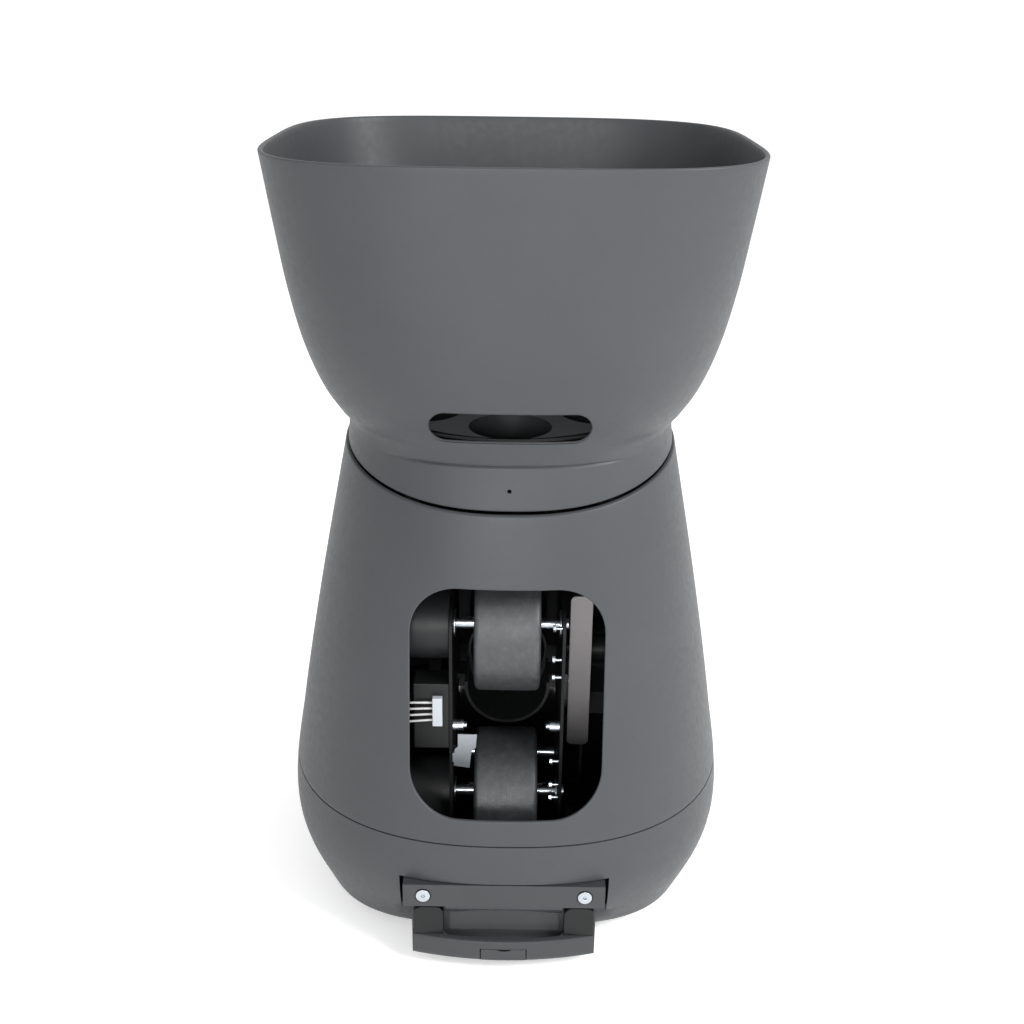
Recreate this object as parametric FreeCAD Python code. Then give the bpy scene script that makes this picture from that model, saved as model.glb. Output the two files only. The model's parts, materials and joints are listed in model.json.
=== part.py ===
"""Two-wheel tennis ball machine: a square hopper on a tapered body, with the launch head, the ball feed,
the pan and tilt drives, the trolley handle and the rear controls inside it.

Units are millimetres. +Z is up, the ball leaves towards -Y, the floor is z = 0 and the vertical axis of
the body is x = y = 0. Every node is written to parts/NODE.step.
"""
import FreeCAD
import Part
import math
import os

from FreeCAD import Placement, Rotation, Vector

# ---------------------------------------------------------------- driving dimensions
# Outer form. A station is (height, half width, squareness); squareness 2 is a circle, higher is squarer.
BODY_STATIONS = [
    (10, 163, 3.6), (20, 180, 3.3), (36, 193, 3.0), (62, 207, 2.7), (100, 217, 2.45),
    (190, 205.5, 2.4), (300, 187, 2.4), (465, 155, 2.4),
]
BOWL_STATIONS = [
    (484, 152, 2.45), (500, 161.5, 2.55), (520, 172.5, 2.7), (560, 186.5, 2.95),
    (610, 197.7, 3.1), (670, 206, 3.35), (730, 213.5, 3.6),
]
SKIRT_STATIONS = [(428, 158.5, 2.4), (470, 152.8, 2.4), (484, 152, 2.45)]
SECTION_POINTS = 24
FORM_STEP = 32
SHELL_WALL = 3.5
TRAY_WALL = 4.2
LIP_OUTSET, LIP_INSET = 4.3, 6.4
BOWL_WALL = 4.0
BODY_FLOOR, BODY_TOP = 10, 461
PARTING_HEIGHT = 131
PARTING_GAP = 0.8
SADDLE_DROP = 27
SADDLE_HALF = 156
SEAM_GAP = 1.4

# Openings in the shells
WINDOW_WIDTH, WINDOW_BOTTOM, WINDOW_TOP, WINDOW_CORNER = 173, 156, 368, 44
SLOT_WIDTH, SLOT_BOTTOM, SLOT_TOP = 136, 499, 528
CREASE_HEIGHT, CREASE_WIDTH, CREASE_HALF_SPAN, CREASE_DEPTH = 473, 2.2, 105, 2.0
RIM_HEIGHT = BOWL_STATIONS[-1][0]
PINHOLE_HEIGHT, PINHOLE_RADIUS = 453, 1.8
NOTCH_HALF, NOTCH_TOP, NOTCH_BACK = 97, 91, -186

# Ball and feed
DECK_TOP, DECK_THICK, DECK_RADIUS = 466, 4, 144
BRACKET_REACH, BRACKET_HALF, BRACKET_LOW = 132, 8, 405
FEED_PITCH_RADIUS = 94
POCKETS, POCKET_RADIUS = 6, 37
ROTOR_RADIUS, ROTOR_BOTTOM, ROTOR_TOP = 128, 468, 492
FUNNEL_RADIUS, FUNNEL_WALL = 137, 3
FEED_MOTOR_RADIUS, FEED_MOTOR_LENGTH = 21, 48
FEED_SHAFT_RADIUS = 4
CHUTE_INNER, CHUTE_OUTER = 38, 41
CHUTE_BEND = 90
CHUTE_EXIT_Y, CHUTE_EXIT_Z = 4, 217

# Launch head
WHEEL_RADIUS, WHEEL_WIDTH, WHEEL_HUB_RADIUS = 62, 60, 32
WHEEL_Y, THROAT_Z, WHEEL_SPACING = -108, 212.5, 183
TILT_Y = -50
PLATE_INNER, PLATE_THICK = 50, 3
PLATE_FRONT, PLATE_BACK, PLATE_LOW, PLATE_HIGH = -148, -8, 96, 330
TROUGH_FRONT, TROUGH_BACK = -63, -12
BAR_RADIUS, BAR_END_RADIUS = 5, 3
THROUGH_BARS = [(-20, 316), (-20, 110), (-26, 262)]
STUB_BAR = (-140, 213.5)
BOLT_PLACES = [(-141, 316), (-141, 284), (-141, 266), (-141, 176), (-141, 150), (-141, 136)]
AXLE_RADIUS = 5
MOTOR_RADIUS, MOTOR_LENGTH = 33, 52
RUNNING = 0.05

# Pan and tilt drives
PAN_MODULE, PAN_TEETH, PAN_PINION_TEETH = 2, 44, 14
TILT_MODULE, TILT_TEETH, TILT_PINION_TEETH = 1.5, 80, 12
PRESSURE_ANGLE = 20
BACKLASH = 0.25
CHASSIS_BOTTOM, CHASSIS_THICK = 64, 3
PAN_GEAR_BOTTOM, PAN_GEAR_THICK = 70, 7
YOKE_THICK = 4
SPINDLE_RADIUS = 12
ARM_LEFT, ARM_RIGHT = -62, 76

# Trolley handle
TUBE_X, TUBE_Z = 70, 50
OUTER_TUBE = (24, 20)
MID_TUBE = (20.4, 16.4)
INNER_TUBE = (16.8, 12.8)
TUBE_WALL = 1.6
TUBE_BACK = 12
GRIP_HALF, GRIP_LOW, GRIP_HIGH = 85, 12, 34
GRIP_FRONT, GRIP_BOW, GRIP_DEPTH = -226, 11, 15
BUTTON_WIDTH, BUTTON_HEIGHT = 42, 13

# Transport wheels, feet and battery
ROLLER_RADIUS, ROLLER_WIDTH, ROLLER_X, ROLLER_Y = 42, 24, 116, 184
ROLLER_LIFT = 2
ROLLER_Z = ROLLER_RADIUS + ROLLER_LIFT
WELL_CLEARANCE, EAR_RADIUS = 6, 11
FOOT_RADIUS, FOOT_HEIGHT = 14, 10
BATTERY_HALF, BATTERY_LOW, BATTERY_HIGH, BATTERY_FRONT, BATTERY_BACK = 60, 15, 60, 74, 207

# Rear panel
PANEL_WIDTH, PANEL_HEIGHT, PANEL_Z, PANEL_LEAN = 96, 76, 330, 11
PANEL_FACE, PANEL_BACK = 1.5, -9

AXES = {"x": Vector(1, 0, 0), "y": Vector(0, 1, 0), "z": Vector(0, 0, 1)}
TURN = {
    "x": Rotation(Vector(1, 1, 1), 120),
    "y": Rotation(Vector(1, 0, 0), 90),
    "z": Rotation(),
}
NODES = {}


# ---------------------------------------------------------------- helpers
def box(x0, x1, y0, y1, z0, z1):
    """Box between two corners."""
    return Part.makeBox(x1 - x0, y1 - y0, z1 - z0, Vector(x0, y0, z0))


def rod(axis, radius, start, length):
    """Cylinder that runs from start along +axis."""
    return Part.makeCylinder(radius, length, Vector(*start), AXES[axis])


def pipe(axis, outer, inner, start, length):
    """Hollow cylinder."""
    return rod(axis, outer, start, length).cut(rod(axis, inner, start, length))


def group(shapes):
    """Separate solids that share one node."""
    return Part.makeCompound(shapes)


def fuse(first, *others):
    """One solid from pieces that touch."""
    return first.fuse(list(others)).removeSplitter()


def both_sides(shape):
    """The shape and its mirror image across x = 0."""
    return [shape, shape.mirror(Vector(0, 0, 0), AXES["x"])]


def place(shape, axis, at):
    """Turn a shape drawn about +Z: "x" sends (x, y, z) to (Y, Z, X), "y" sends it to (X, Z, -Y)."""
    turned = shape.copy()
    turned.Placement = Placement(Vector(*at), TURN[axis])
    return turned


def rounded_block(width, height, corner, depth):
    """Rounded rectangle about the origin, swept up +Z from z = 0."""
    block = box(-width / 2, width / 2, -height / 2, height / 2, 0, depth)
    uprights = [edge for edge in block.Edges if abs(edge.tangentAt(edge.FirstParameter).z) > 0.9]
    return block.makeFillet(corner, uprights)


def polygon_prism(points, depth):
    """Straight-sided outline in XY, swept up +Z."""
    loop = [Vector(x, y, 0) for x, y in points]
    face = Part.Face(Part.makePolygon(loop + loop[:1]))
    return face.extrude(Vector(0, 0, depth))


def section(height, half, squareness):
    """Closed superellipse of one half width in x and y."""
    points = []
    for step in range(SECTION_POINTS):
        angle = 2 * math.pi * step / SECTION_POINTS
        cosine, sine = math.cos(angle), math.sin(angle)
        spread = abs(cosine) ** squareness + abs(sine) ** squareness
        radius = half / spread ** (1 / squareness)
        points.append(Vector(radius * cosine, radius * sine, height))
    curve = Part.BSplineCurve()
    curve.interpolate(Points=points, PeriodicFlag=True)
    return Part.Wire(curve.toShape())


def slope_at(stations, index, column):
    """Slope of one column at a station, between the slopes of the spans beside it."""
    slopes = []
    for low, high in zip(stations[max(index - 1, 0):], stations[max(index - 1, 0) + 1:index + 2]):
        slopes.append((high[column] - low[column]) / (high[0] - low[0]))
    if len(slopes) == 2 and slopes[0] * slopes[1] <= 0:
        return 0.0
    return sum(slopes) / len(slopes)


def station_at(stations, height):
    """Station at any height, on a smooth curve through the given stations."""
    index = max(k for k in range(len(stations) - 1) if stations[k][0] <= height or k == 0)
    low, high = stations[index], stations[index + 1]
    span = high[0] - low[0]
    t = (height - low[0]) / span
    values = []
    for column in (1, 2):
        start, end = slope_at(stations, index, column) * span, slope_at(stations, index + 1, column) * span
        values.append((2 * t ** 3 - 3 * t ** 2 + 1) * low[column] + (t ** 3 - 2 * t ** 2 + t) * start
                      + (3 * t ** 2 - 2 * t ** 3) * high[column] + (t ** 3 - t ** 2) * end)
    return height, values[0], values[1]


def form(stations, inset=0):
    """Smooth solid through the stations, in steps of equal length, every half width less by inset."""
    low, high = stations[0][0], stations[-1][0]
    fine = [station_at(stations, low + (high - low) * k / 400) for k in range(401)]
    travelled = [0.0]
    for before, after in zip(fine, fine[1:]):
        travelled.append(travelled[-1] + math.hypot(after[0] - before[0], after[1] - before[1]))
    count = max(2, round(travelled[-1] / FORM_STEP))
    chosen = [min(range(401), key=lambda k: abs(travelled[k] - travelled[-1] * step / count))
              for step in range(count + 1)]
    wires = [section(fine[k][0], fine[k][1] - inset, fine[k][2]) for k in chosen]
    return Part.makeLoft(wires, True, count < 3)


def flat_loop(solid, height):
    """Boundary of the solid's flat end at a height."""
    edges = [edge for edge in solid.Edges if abs(edge.BoundBox.ZMin - height) < 0.01
             and abs(edge.BoundBox.ZMax - height) < 0.01]
    return Part.Wire(Part.__sortEdges__(edges))


def hollow(outer, inner, rims):
    """Solid between two nested forms that both end flat at the rim heights, made face by face."""
    faces = []
    for solid in (outer, inner):
        faces += [face for face in solid.Faces
                  if not any(abs(face.BoundBox.ZMin - rim) < 0.01 and abs(face.BoundBox.ZMax - rim) < 0.01
                             for rim in rims)]
    for rim in rims:
        faces.append(Part.makeFace([flat_loop(outer, rim), flat_loop(inner, rim)], "Part::FaceMakerBullseye"))
    shell = Part.makeShell(faces)
    shell.sewShape()
    solid = Part.makeSolid(shell)
    if solid.Volume < 0:
        solid.reverse()
    return solid


def slab(low, high):
    """Wide block between two heights."""
    return box(-300, 300, -300, 300, low, high)


def gear(teeth, module, width, bore, phase=0.0):
    """Involute spur gear about +Z, with one tooth centred on the phase angle."""
    pitch = teeth * module / 2
    base = pitch * math.cos(math.radians(PRESSURE_ANGLE))
    root, tip = pitch - 1.2 * module, pitch + 0.95 * module
    pressure = math.radians(PRESSURE_ANGLE)
    half_tooth = math.pi / (2 * teeth) + math.tan(pressure) - pressure - BACKLASH / (2 * pitch)
    flank = []
    for step in range(5):
        radius = max(root, base) + (tip - max(root, base)) * step / 4
        roll = math.acos(base / radius)
        flank.append((radius, half_tooth - math.tan(roll) + roll))
    flank.insert(0, (root, flank[0][1]))
    outline = []
    for tooth in range(teeth):
        centre = phase + 2 * math.pi * tooth / teeth
        side = [(radius, centre - lean) for radius, lean in flank]
        side += [(radius, centre + lean) for radius, lean in reversed(flank)]
        outline += [(radius * math.cos(angle), radius * math.sin(angle)) for radius, angle in side]
    return polygon_prism(outline, width).cut(rod("z", bore, (0, 0, 0), width))


def rounded_path(points, radius):
    """Straight runs joined by tangent arcs."""
    corners = [Vector(*point) for point in points]
    edges = []
    start = corners[0]
    for before, corner, after in zip(corners, corners[1:], corners[2:]):
        back = (before - corner).normalize()
        ahead = (after - corner).normalize()
        half_turn = (math.pi - back.getAngle(ahead)) / 2
        reach = radius * math.tan(half_turn)
        entry = corner + back * reach
        leave = corner + ahead * reach
        bisector = (back + ahead).normalize()
        middle = corner + bisector * (radius / math.cos(half_turn) - radius)
        edges.append(Part.LineSegment(start, entry).toShape())
        edges.append(Part.Arc(entry, middle, leave).toShape())
        start = leave
    edges.append(Part.LineSegment(start, corners[-1]).toShape())
    return Part.Wire(edges)


def sweep(path, radius):
    """Round solid along a path."""
    edge = path.Edges[0]
    start = edge.valueAt(edge.FirstParameter)
    ring = Part.Circle(start, edge.tangentAt(edge.FirstParameter), radius)
    return path.makePipeShell([Part.Wire(ring.toShape())], True, False)


def hex_bolt(axis, at, across, head, shank_radius, shank):
    """Hexagon head that starts at the point and sits on +axis, with its shank running back from it."""
    corners = [(across / math.sqrt(3) * math.cos(math.radians(60 * k)),
                across / math.sqrt(3) * math.sin(math.radians(60 * k))) for k in range(6)]
    bolt = polygon_prism(corners, head).fuse(rod("z", shank_radius, (0, 0, -shank), shank))
    return place(bolt, axis, at)


# ---------------------------------------------------------------- outer shells
BODY = form(BODY_STATIONS)
BODY_WITHIN_WALL = form(BODY_STATIONS, SHELL_WALL)
BODY_WITHIN_TRAY = form(BODY_STATIONS, TRAY_WALL)
WITHIN_SKIN = form(BODY_STATIONS, 1)
SADDLE_RADIUS = (SADDLE_HALF ** 2 + SADDLE_DROP ** 2) / (2 * SADDLE_DROP)


def saddle(top):
    """Everything under a wide cylinder along X whose crest is at the given height."""
    return rod("x", SADDLE_RADIUS, (-300, 0, top - SADDLE_RADIUS), 600)


def panel_place(shape):
    """Put a shape drawn about the panel's centre, facing +Y, on the leaning rear wall."""
    turned = shape.copy()
    lean = Rotation(AXES["x"], PANEL_LEAN)
    turned.Placement = Placement(Vector(0, panel_wall_y(), PANEL_Z), lean).multiply(shape.Placement)
    return turned


def panel_wall_y():
    """Half depth of the body at the panel's height, between the two stations around it."""
    low, high = BODY_STATIONS[-2], BODY_STATIONS[-1]
    share = (PANEL_Z - low[0]) / (high[0] - low[0])
    return low[1] + share * (high[1] - low[1]) + 1.0


def facing_rear(width, height, corner, front, back, x=0, z=0):
    """Rounded block between two depths of the panel's frame."""
    return place(rounded_block(width, height, corner, front - back), "y", (x, front, z))


def body_shell():
    """Tapered cover with the launch window, the rear panel's opening and the saddle-shaped top edge."""
    low = PARTING_HEIGHT + PARTING_GAP / 2
    reach = slab(low, BODY_TOP + 3)
    shell = hollow(BODY.common(reach), BODY_WITHIN_WALL.common(reach), (low, BODY_TOP + 3))
    shell = shell.common(saddle(BODY_TOP))
    window = rounded_block(WINDOW_WIDTH, WINDOW_TOP - WINDOW_BOTTOM, WINDOW_CORNER, 120)
    shell = shell.cut(place(window, "y", (0, -130, (WINDOW_TOP + WINDOW_BOTTOM) / 2)))
    opening = facing_rear(PANEL_WIDTH + 0.8, PANEL_HEIGHT + 0.8, 9, 20, -20)
    return shell.cut(panel_place(opening))


def base_tray():
    """Rounded tray with the handle's notch, two lined wheel wells and the battery bay's mouth."""
    top = PARTING_HEIGHT - PARTING_GAP / 2
    tray = hollow(BODY.common(slab(0, top)), BODY_WITHIN_TRAY.common(slab(BODY_FLOOR + 4, top)), (top,))
    for side in (-1, 1):
        half = ROLLER_WIDTH / 2 + WELL_CLEARANCE
        centre = side * ROLLER_X
        front = ROLLER_Y - ROLLER_RADIUS - WELL_CLEARANCE
        roof = ROLLER_RADIUS * 2 + ROLLER_LIFT + WELL_CLEARANCE
        liner = box(centre - half - 3, centre + half + 3, front - 3, 260, BODY_FLOOR + 0.5, roof + 3)
        tray = tray.fuse(liner.common(WITHIN_SKIN))
        tray = tray.cut(box(centre - half, centre + half, front, 260, -1, roof))
        for low in (centre - half - 3, centre + half):
            ear = box(low, low + 3, front + 4, ROLLER_Y, ROLLER_Z - EAR_RADIUS, ROLLER_Z + EAR_RADIUS)
            tray = tray.fuse(ear.fuse(rod("x", EAR_RADIUS, (low, ROLLER_Y, ROLLER_Z), 3)))
        tray = tray.cut(rod("x", AXLE_RADIUS, (centre - 24, ROLLER_Y, ROLLER_Z), 48))
    tray = tray.cut(box(-NOTCH_HALF, NOTCH_HALF, -260, NOTCH_BACK, -1, NOTCH_TOP))
    bay = BATTERY_HALF + 2
    tray = tray.cut(box(-bay, bay, 150, 260, BATTERY_LOW - 0.5, BATTERY_HIGH + 2))
    for x, y in foot_places():
        tray = tray.cut(rod("z", 4, (x, y, 0), 20))
    return tray


def parting_lip():
    """Band inside the parting line that locates the shell on the tray."""
    low, high = PARTING_HEIGHT - 14, PARTING_HEIGHT + 9
    reach = slab(low, high)
    outer = form(BODY_STATIONS, LIP_OUTSET).common(reach)
    return hollow(outer, form(BODY_STATIONS, LIP_INSET).common(reach), (low, high))


def foot_places():
    """Centres of the four feet."""
    return [(-121, -126), (121, -126), (-72, 142), (72, 142)]


def hopper_bowl():
    """Flared square bowl and the skirt that sits over the top of the body, as one moulding."""
    bowl = hollow(form(BOWL_STATIONS), form(BOWL_STATIONS, BOWL_WALL), (BOWL_STATIONS[0][0], RIM_HEIGHT))
    skirt = hollow(form(SKIRT_STATIONS), form(SKIRT_STATIONS, BOWL_WALL),
                   (SKIRT_STATIONS[0][0], SKIRT_STATIONS[-1][0]))
    bowl = bowl.fuse(skirt.cut(saddle(BODY_TOP + SEAM_GAP)))
    slot_height = SLOT_TOP - SLOT_BOTTOM
    slot = rounded_block(SLOT_WIDTH, slot_height, slot_height / 2 - 0.01, 100)
    bowl = bowl.cut(place(slot, "y", (0, -110, (SLOT_TOP + SLOT_BOTTOM) / 2)))
    bowl = bowl.cut(rod("y", PINHOLE_RADIUS, (0, -170, PINHOLE_HEIGHT), 40))
    sag = 30
    arc_radius = (CREASE_HALF_SPAN ** 2 + sag ** 2) / (2 * sag)
    front = CREASE_DEPTH - SKIRT_STATIONS[1][1]
    inside = rod("z", arc_radius, (0, front + arc_radius, CREASE_HEIGHT), CREASE_WIDTH)
    crease = box(-120, 120, -170, -100, CREASE_HEIGHT, CREASE_HEIGHT + CREASE_WIDTH).cut(inside)
    return bowl.cut(crease)


def hopper_funnel():
    """Ring around the feed star, flared at the top towards the bowl's wall; it rests on the feed deck."""
    outer = FUNNEL_RADIUS + FUNNEL_WALL
    bend, lip = ROTOR_TOP - 5, SLOT_BOTTOM - 2
    flare = lip - bend
    outline = [(FUNNEL_RADIUS, DECK_TOP), (outer, DECK_TOP), (outer, bend - 1), (outer + flare, lip - 1),
               (outer + flare - 2, lip + 1), (FUNNEL_RADIUS, bend + 1)]
    loop = [Vector(radius, 0, height) for radius, height in outline]
    face = Part.Face(Part.makePolygon(loop + loop[:1]))
    return face.revolve(Vector(0, 0, 0), AXES["z"], 360)


NODES["body_shell"] = body_shell()
NODES["base_tray"] = base_tray()
NODES["parting_lip"] = parting_lip()
NODES["hopper_bowl"] = hopper_bowl()
NODES["hopper_funnel"] = hopper_funnel()
NODES["rubber_feet"] = group([
    fuse(rod("z", FOOT_RADIUS, (x, y, 0), FOOT_HEIGHT), rod("z", 4, (x, y, FOOT_HEIGHT), 7))
    for x, y in foot_places()])


# ---------------------------------------------------------------- ball feed
def feed_hole():
    """Hole that drops one ball behind the launch head."""
    return rod("z", CHUTE_INNER, (0, FEED_PITCH_RADIUS, DECK_TOP - 20), 40)


def feed_deck():
    """Round floor of the hopper, with the ball hole and the feed motor's shaft hole."""
    deck = rod("z", DECK_RADIUS, (0, 0, DECK_TOP - DECK_THICK), DECK_THICK)
    deck = deck.cut(feed_hole()).cut(rod("z", 8, (0, 0, DECK_TOP - 10), 20))
    return deck


def bracket_places():
    """Centres of the four deck brackets."""
    reach = BRACKET_REACH / math.sqrt(2)
    return [(sx * reach, sy * reach) for sx in (-1, 1) for sy in (-1, 1)]


def deck_brackets():
    """Four posts that carry the deck, each on an arm from the body's wall."""
    brackets = []
    for x, y in bracket_places():
        near, far = BRACKET_REACH - BRACKET_HALF, BRACKET_REACH + BRACKET_HALF
        post = box(near, far, -BRACKET_HALF, BRACKET_HALF, BRACKET_LOW, DECK_TOP - DECK_THICK)
        arm = box(near, 230, -BRACKET_HALF, BRACKET_HALF, BRACKET_LOW, BRACKET_LOW + 6)
        bracket = post.fuse(arm).removeSplitter()
        bracket.rotate(Vector(0, 0, 0), AXES["z"], math.degrees(math.atan2(y, x)))
        brackets.append(bracket.common(BODY_WITHIN_WALL))
    return group(brackets)


def feed_rotor():
    """Six-pocket star that carries balls round to the hole, with a low cone that stirs the pile."""
    rotor = rod("z", ROTOR_RADIUS, (0, 0, ROTOR_BOTTOM), ROTOR_TOP - ROTOR_BOTTOM)
    rotor = rotor.fuse(Part.makeCone(46, 16, 26, Vector(0, 0, ROTOR_TOP)))
    for pocket in range(POCKETS):
        angle = math.radians(90 + 360 * pocket / POCKETS)
        x, y = FEED_PITCH_RADIUS * math.cos(angle), FEED_PITCH_RADIUS * math.sin(angle)
        rotor = rotor.cut(rod("z", POCKET_RADIUS, (x, y, ROTOR_BOTTOM - 1), 60))
    shaft = rod("z", FEED_SHAFT_RADIUS, (0, 0, DECK_TOP - 24), ROTOR_BOTTOM + 10 - DECK_TOP + 24)
    return fuse(rotor, shaft)


def drop_chute():
    """Pipe from the deck's hole that bends forward and ends behind the launch head."""
    bend_z = CHUTE_EXIT_Z + CHUTE_BEND
    top = DECK_TOP - DECK_THICK
    run_y = CHUTE_EXIT_Y + CHUTE_BEND
    solids = []
    for radius in (CHUTE_OUTER, CHUTE_INNER):
        upright = rod("z", radius, (0, run_y, bend_z), top - bend_z)
        ring = Part.Face(Part.Wire(Part.Circle(Vector(0, run_y, bend_z), AXES["z"], radius).toShape()))
        elbow = ring.revolve(Vector(0, CHUTE_EXIT_Y, bend_z), Vector(-1, 0, 0), 90)
        solids.append(upright.fuse(elbow))
    return solids[0].cut(solids[1]).removeSplitter()


NODES["feed_deck"] = feed_deck()
NODES["deck_brackets"] = deck_brackets()
NODES["feed_rotor"] = feed_rotor()
NODES["feed_motor"] = rod("z", FEED_MOTOR_RADIUS, (0, 0, DECK_TOP - DECK_THICK - FEED_MOTOR_LENGTH),
                          FEED_MOTOR_LENGTH).cut(
    rod("z", FEED_SHAFT_RADIUS + RUNNING, (0, 0, DECK_TOP - 24.5), 30))
NODES["drop_chute"] = drop_chute()


# ---------------------------------------------------------------- launch head
UPPER_Z = THROAT_Z + WHEEL_SPACING / 2
LOWER_Z = THROAT_Z - WHEEL_SPACING / 2
MOTOR_START = -PLATE_INNER - PLATE_THICK - MOTOR_LENGTH


def head_plate(x):
    """Upright side plate with bearing holes for both wheels and a hole for the tilt pin."""
    width, height = PLATE_BACK - PLATE_FRONT, PLATE_HIGH - PLATE_LOW
    plate = place(rounded_block(width, height, 22, PLATE_THICK), "x",
                  (x, (PLATE_FRONT + PLATE_BACK) / 2, (PLATE_HIGH + PLATE_LOW) / 2))
    for height in (UPPER_Z, LOWER_Z):
        plate = plate.cut(rod("x", 11, (x - 1, WHEEL_Y, height), PLATE_THICK + 2))
    for y, z in THROUGH_BARS + [STUB_BAR]:
        plate = plate.cut(rod("x", BAR_END_RADIUS, (x - 1, y, z), PLATE_THICK + 2))
    return plate.cut(rod("x", 6, (x - 1, TILT_Y, THROAT_Z), PLATE_THICK + 2))


def standoffs():
    """Bars that tie the two plates together, clear of the wheels and of the ball's path, and two short stubs."""
    bars = []
    for y, z in THROUGH_BARS:
        bar = rod("x", BAR_RADIUS, (-PLATE_INNER, y, z), 2 * PLATE_INNER)
        outside = PLATE_INNER + PLATE_THICK
        bars.append(bar.fuse(rod("x", BAR_END_RADIUS, (-outside, y, z), 2 * outside)))
    y, z = STUB_BAR
    for start, end_start in ((-PLATE_INNER, -PLATE_INNER - PLATE_THICK), (PLATE_INNER - 10, PLATE_INNER - 13)):
        stub = rod("x", BAR_RADIUS, (start, y, z), 10)
        bars.append(stub.fuse(rod("x", BAR_END_RADIUS, (end_start, y, z), 16)))
    return group([bar.removeSplitter() for bar in bars])


def launch_wheel(height):
    """Tyre, hub and shaft of one wheel."""
    start = (-WHEEL_WIDTH / 2, WHEEL_Y, height)
    tyre = pipe("x", WHEEL_RADIUS, WHEEL_HUB_RADIUS, start, WHEEL_WIDTH)
    edges = [edge for edge in tyre.Edges if abs(edge.Length - 2 * math.pi * WHEEL_RADIUS) < 1]
    tyre = tyre.makeFillet(2.5, edges)
    hub = pipe("x", WHEEL_HUB_RADIUS, AXLE_RADIUS, start, WHEEL_WIDTH)
    for side in (-1, 1):
        recess = pipe("x", WHEEL_HUB_RADIUS - 4, 11, (0, WHEEL_Y, height), 24)
        hub = hub.cut(recess.translated(Vector(6 if side > 0 else -30, 0, 0)))
    shaft_start = MOTOR_START + MOTOR_LENGTH - 20
    shaft = rod("x", AXLE_RADIUS, (shaft_start, WHEEL_Y, height), PLATE_INNER + 7 - shaft_start)
    return tyre, hub, shaft


def bearings():
    """Flanged bearings of the wheel shafts in the two plates."""
    rings = []
    for height in (UPPER_Z, LOWER_Z):
        for x in (-PLATE_INNER - PLATE_THICK, PLATE_INNER):
            flange = x - 1.5 if x > 0 else x + PLATE_THICK
            ring = fuse(rod("x", 11, (x, WHEEL_Y, height), PLATE_THICK),
                        rod("x", 13, (flange, WHEEL_Y, height), 1.5))
            rings.append(ring.cut(rod("x", AXLE_RADIUS + RUNNING, (x - 5, WHEEL_Y, height), 14)))
    return group(rings)


def wheel_motors():
    """Two motor cans on the outside of the left plate."""
    cans = []
    for height in (UPPER_Z, LOWER_Z):
        can = rod("x", MOTOR_RADIUS, (MOTOR_START, WHEEL_Y, height), MOTOR_LENGTH)
        bore = rod("x", AXLE_RADIUS + RUNNING, (MOTOR_START + MOTOR_LENGTH - 20.5, WHEEL_Y, height), 30)
        cans.append(can.cut(bore))
    return group(cans)


def ball_trough():
    """Open half pipe that leads the ball from the chute to the throat, on two feet to the plates."""
    length = TROUGH_BACK - TROUGH_FRONT
    trough = pipe("y", CHUTE_OUTER + 1, CHUTE_INNER + 1, (0, TROUGH_FRONT, THROAT_Z), length)
    trough = trough.cut(box(-60, 60, -70, 10, THROAT_Z + 4, THROAT_Z + 60))
    for side in (-1, 1):
        near, far = sorted((side * (CHUTE_OUTER - 0.5), side * PLATE_INNER))
        tab = box(near, far, -44, TROUGH_BACK - 4, THROAT_Z - 2, THROAT_Z + 2)
        trough = trough.fuse(tab)
    return trough.cut(rod("y", CHUTE_INNER + 1, (0, -70, THROAT_Z), 80)).removeSplitter()


def plate_bolts():
    """Hexagon heads on short shanks that stand out of the right plate, beside the wheels."""
    shank = PLATE_INNER - 44
    return group([hex_bolt("x", (44, y, z), 5.5, 2.8, 1.5, 0.1).mirror(Vector(44, 0, 0), AXES["x"]).fuse(
        rod("x", 1.5, (44, y, z), shank)).removeSplitter() for y, z in BOLT_PLACES])


for label, height in (("upper", UPPER_Z), ("lower", LOWER_Z)):
    tyre, hub, shaft = launch_wheel(height)
    NODES[label + "_wheel_tyre"] = tyre
    NODES[label + "_wheel_hub"] = hub
    NODES[label + "_wheel_shaft"] = shaft
NODES["head_left_plate"] = head_plate(-PLATE_INNER - PLATE_THICK)
NODES["head_right_plate"] = head_plate(PLATE_INNER)
NODES["plate_standoffs"] = standoffs()
NODES["wheel_bearings"] = bearings()
NODES["wheel_motors"] = wheel_motors()
NODES["ball_trough"] = ball_trough()
NODES["plate_bolts"] = plate_bolts()


# ---------------------------------------------------------------- motor driver and its lead
DRIVER_LEFT, DRIVER_RIGHT = -86, -PLATE_INNER - PLATE_THICK
DRIVER_FRONT, DRIVER_BACK, DRIVER_LOW, DRIVER_HIGH = -150, -122, 194, 262
CONNECTOR_LEFT, CONNECTOR_RIGHT, CONNECTOR_LOW, CONNECTOR_HIGH = -68, -59, 221, 250
WIRE_RADIUS, WIRE_COUNT, WIRE_PITCH = 1.0, 4, 6


def motor_lead():
    """Four wires from the connector, out to the left and up to the end of the upper motor."""
    wires = []
    for index in range(WIRE_COUNT):
        z = CONNECTOR_LOW + 5.5 + WIRE_PITCH * index
        end_z = UPPER_Z - 21 + 4 * index
        y = (DRIVER_FRONT - 6) + 3
        outer = MOTOR_START - 9 - 1.5 * index
        path = rounded_path([
            (CONNECTOR_LEFT, y, z), (outer + 8, y, z - 4 + index), (outer, WHEEL_Y - 22, z + 14),
            (outer + 1, WHEEL_Y - 6, end_z), (MOTOR_START, WHEEL_Y - 4, end_z + 1)], 6)
        wires.append(sweep(path, WIRE_RADIUS))
    return group(wires)


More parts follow.
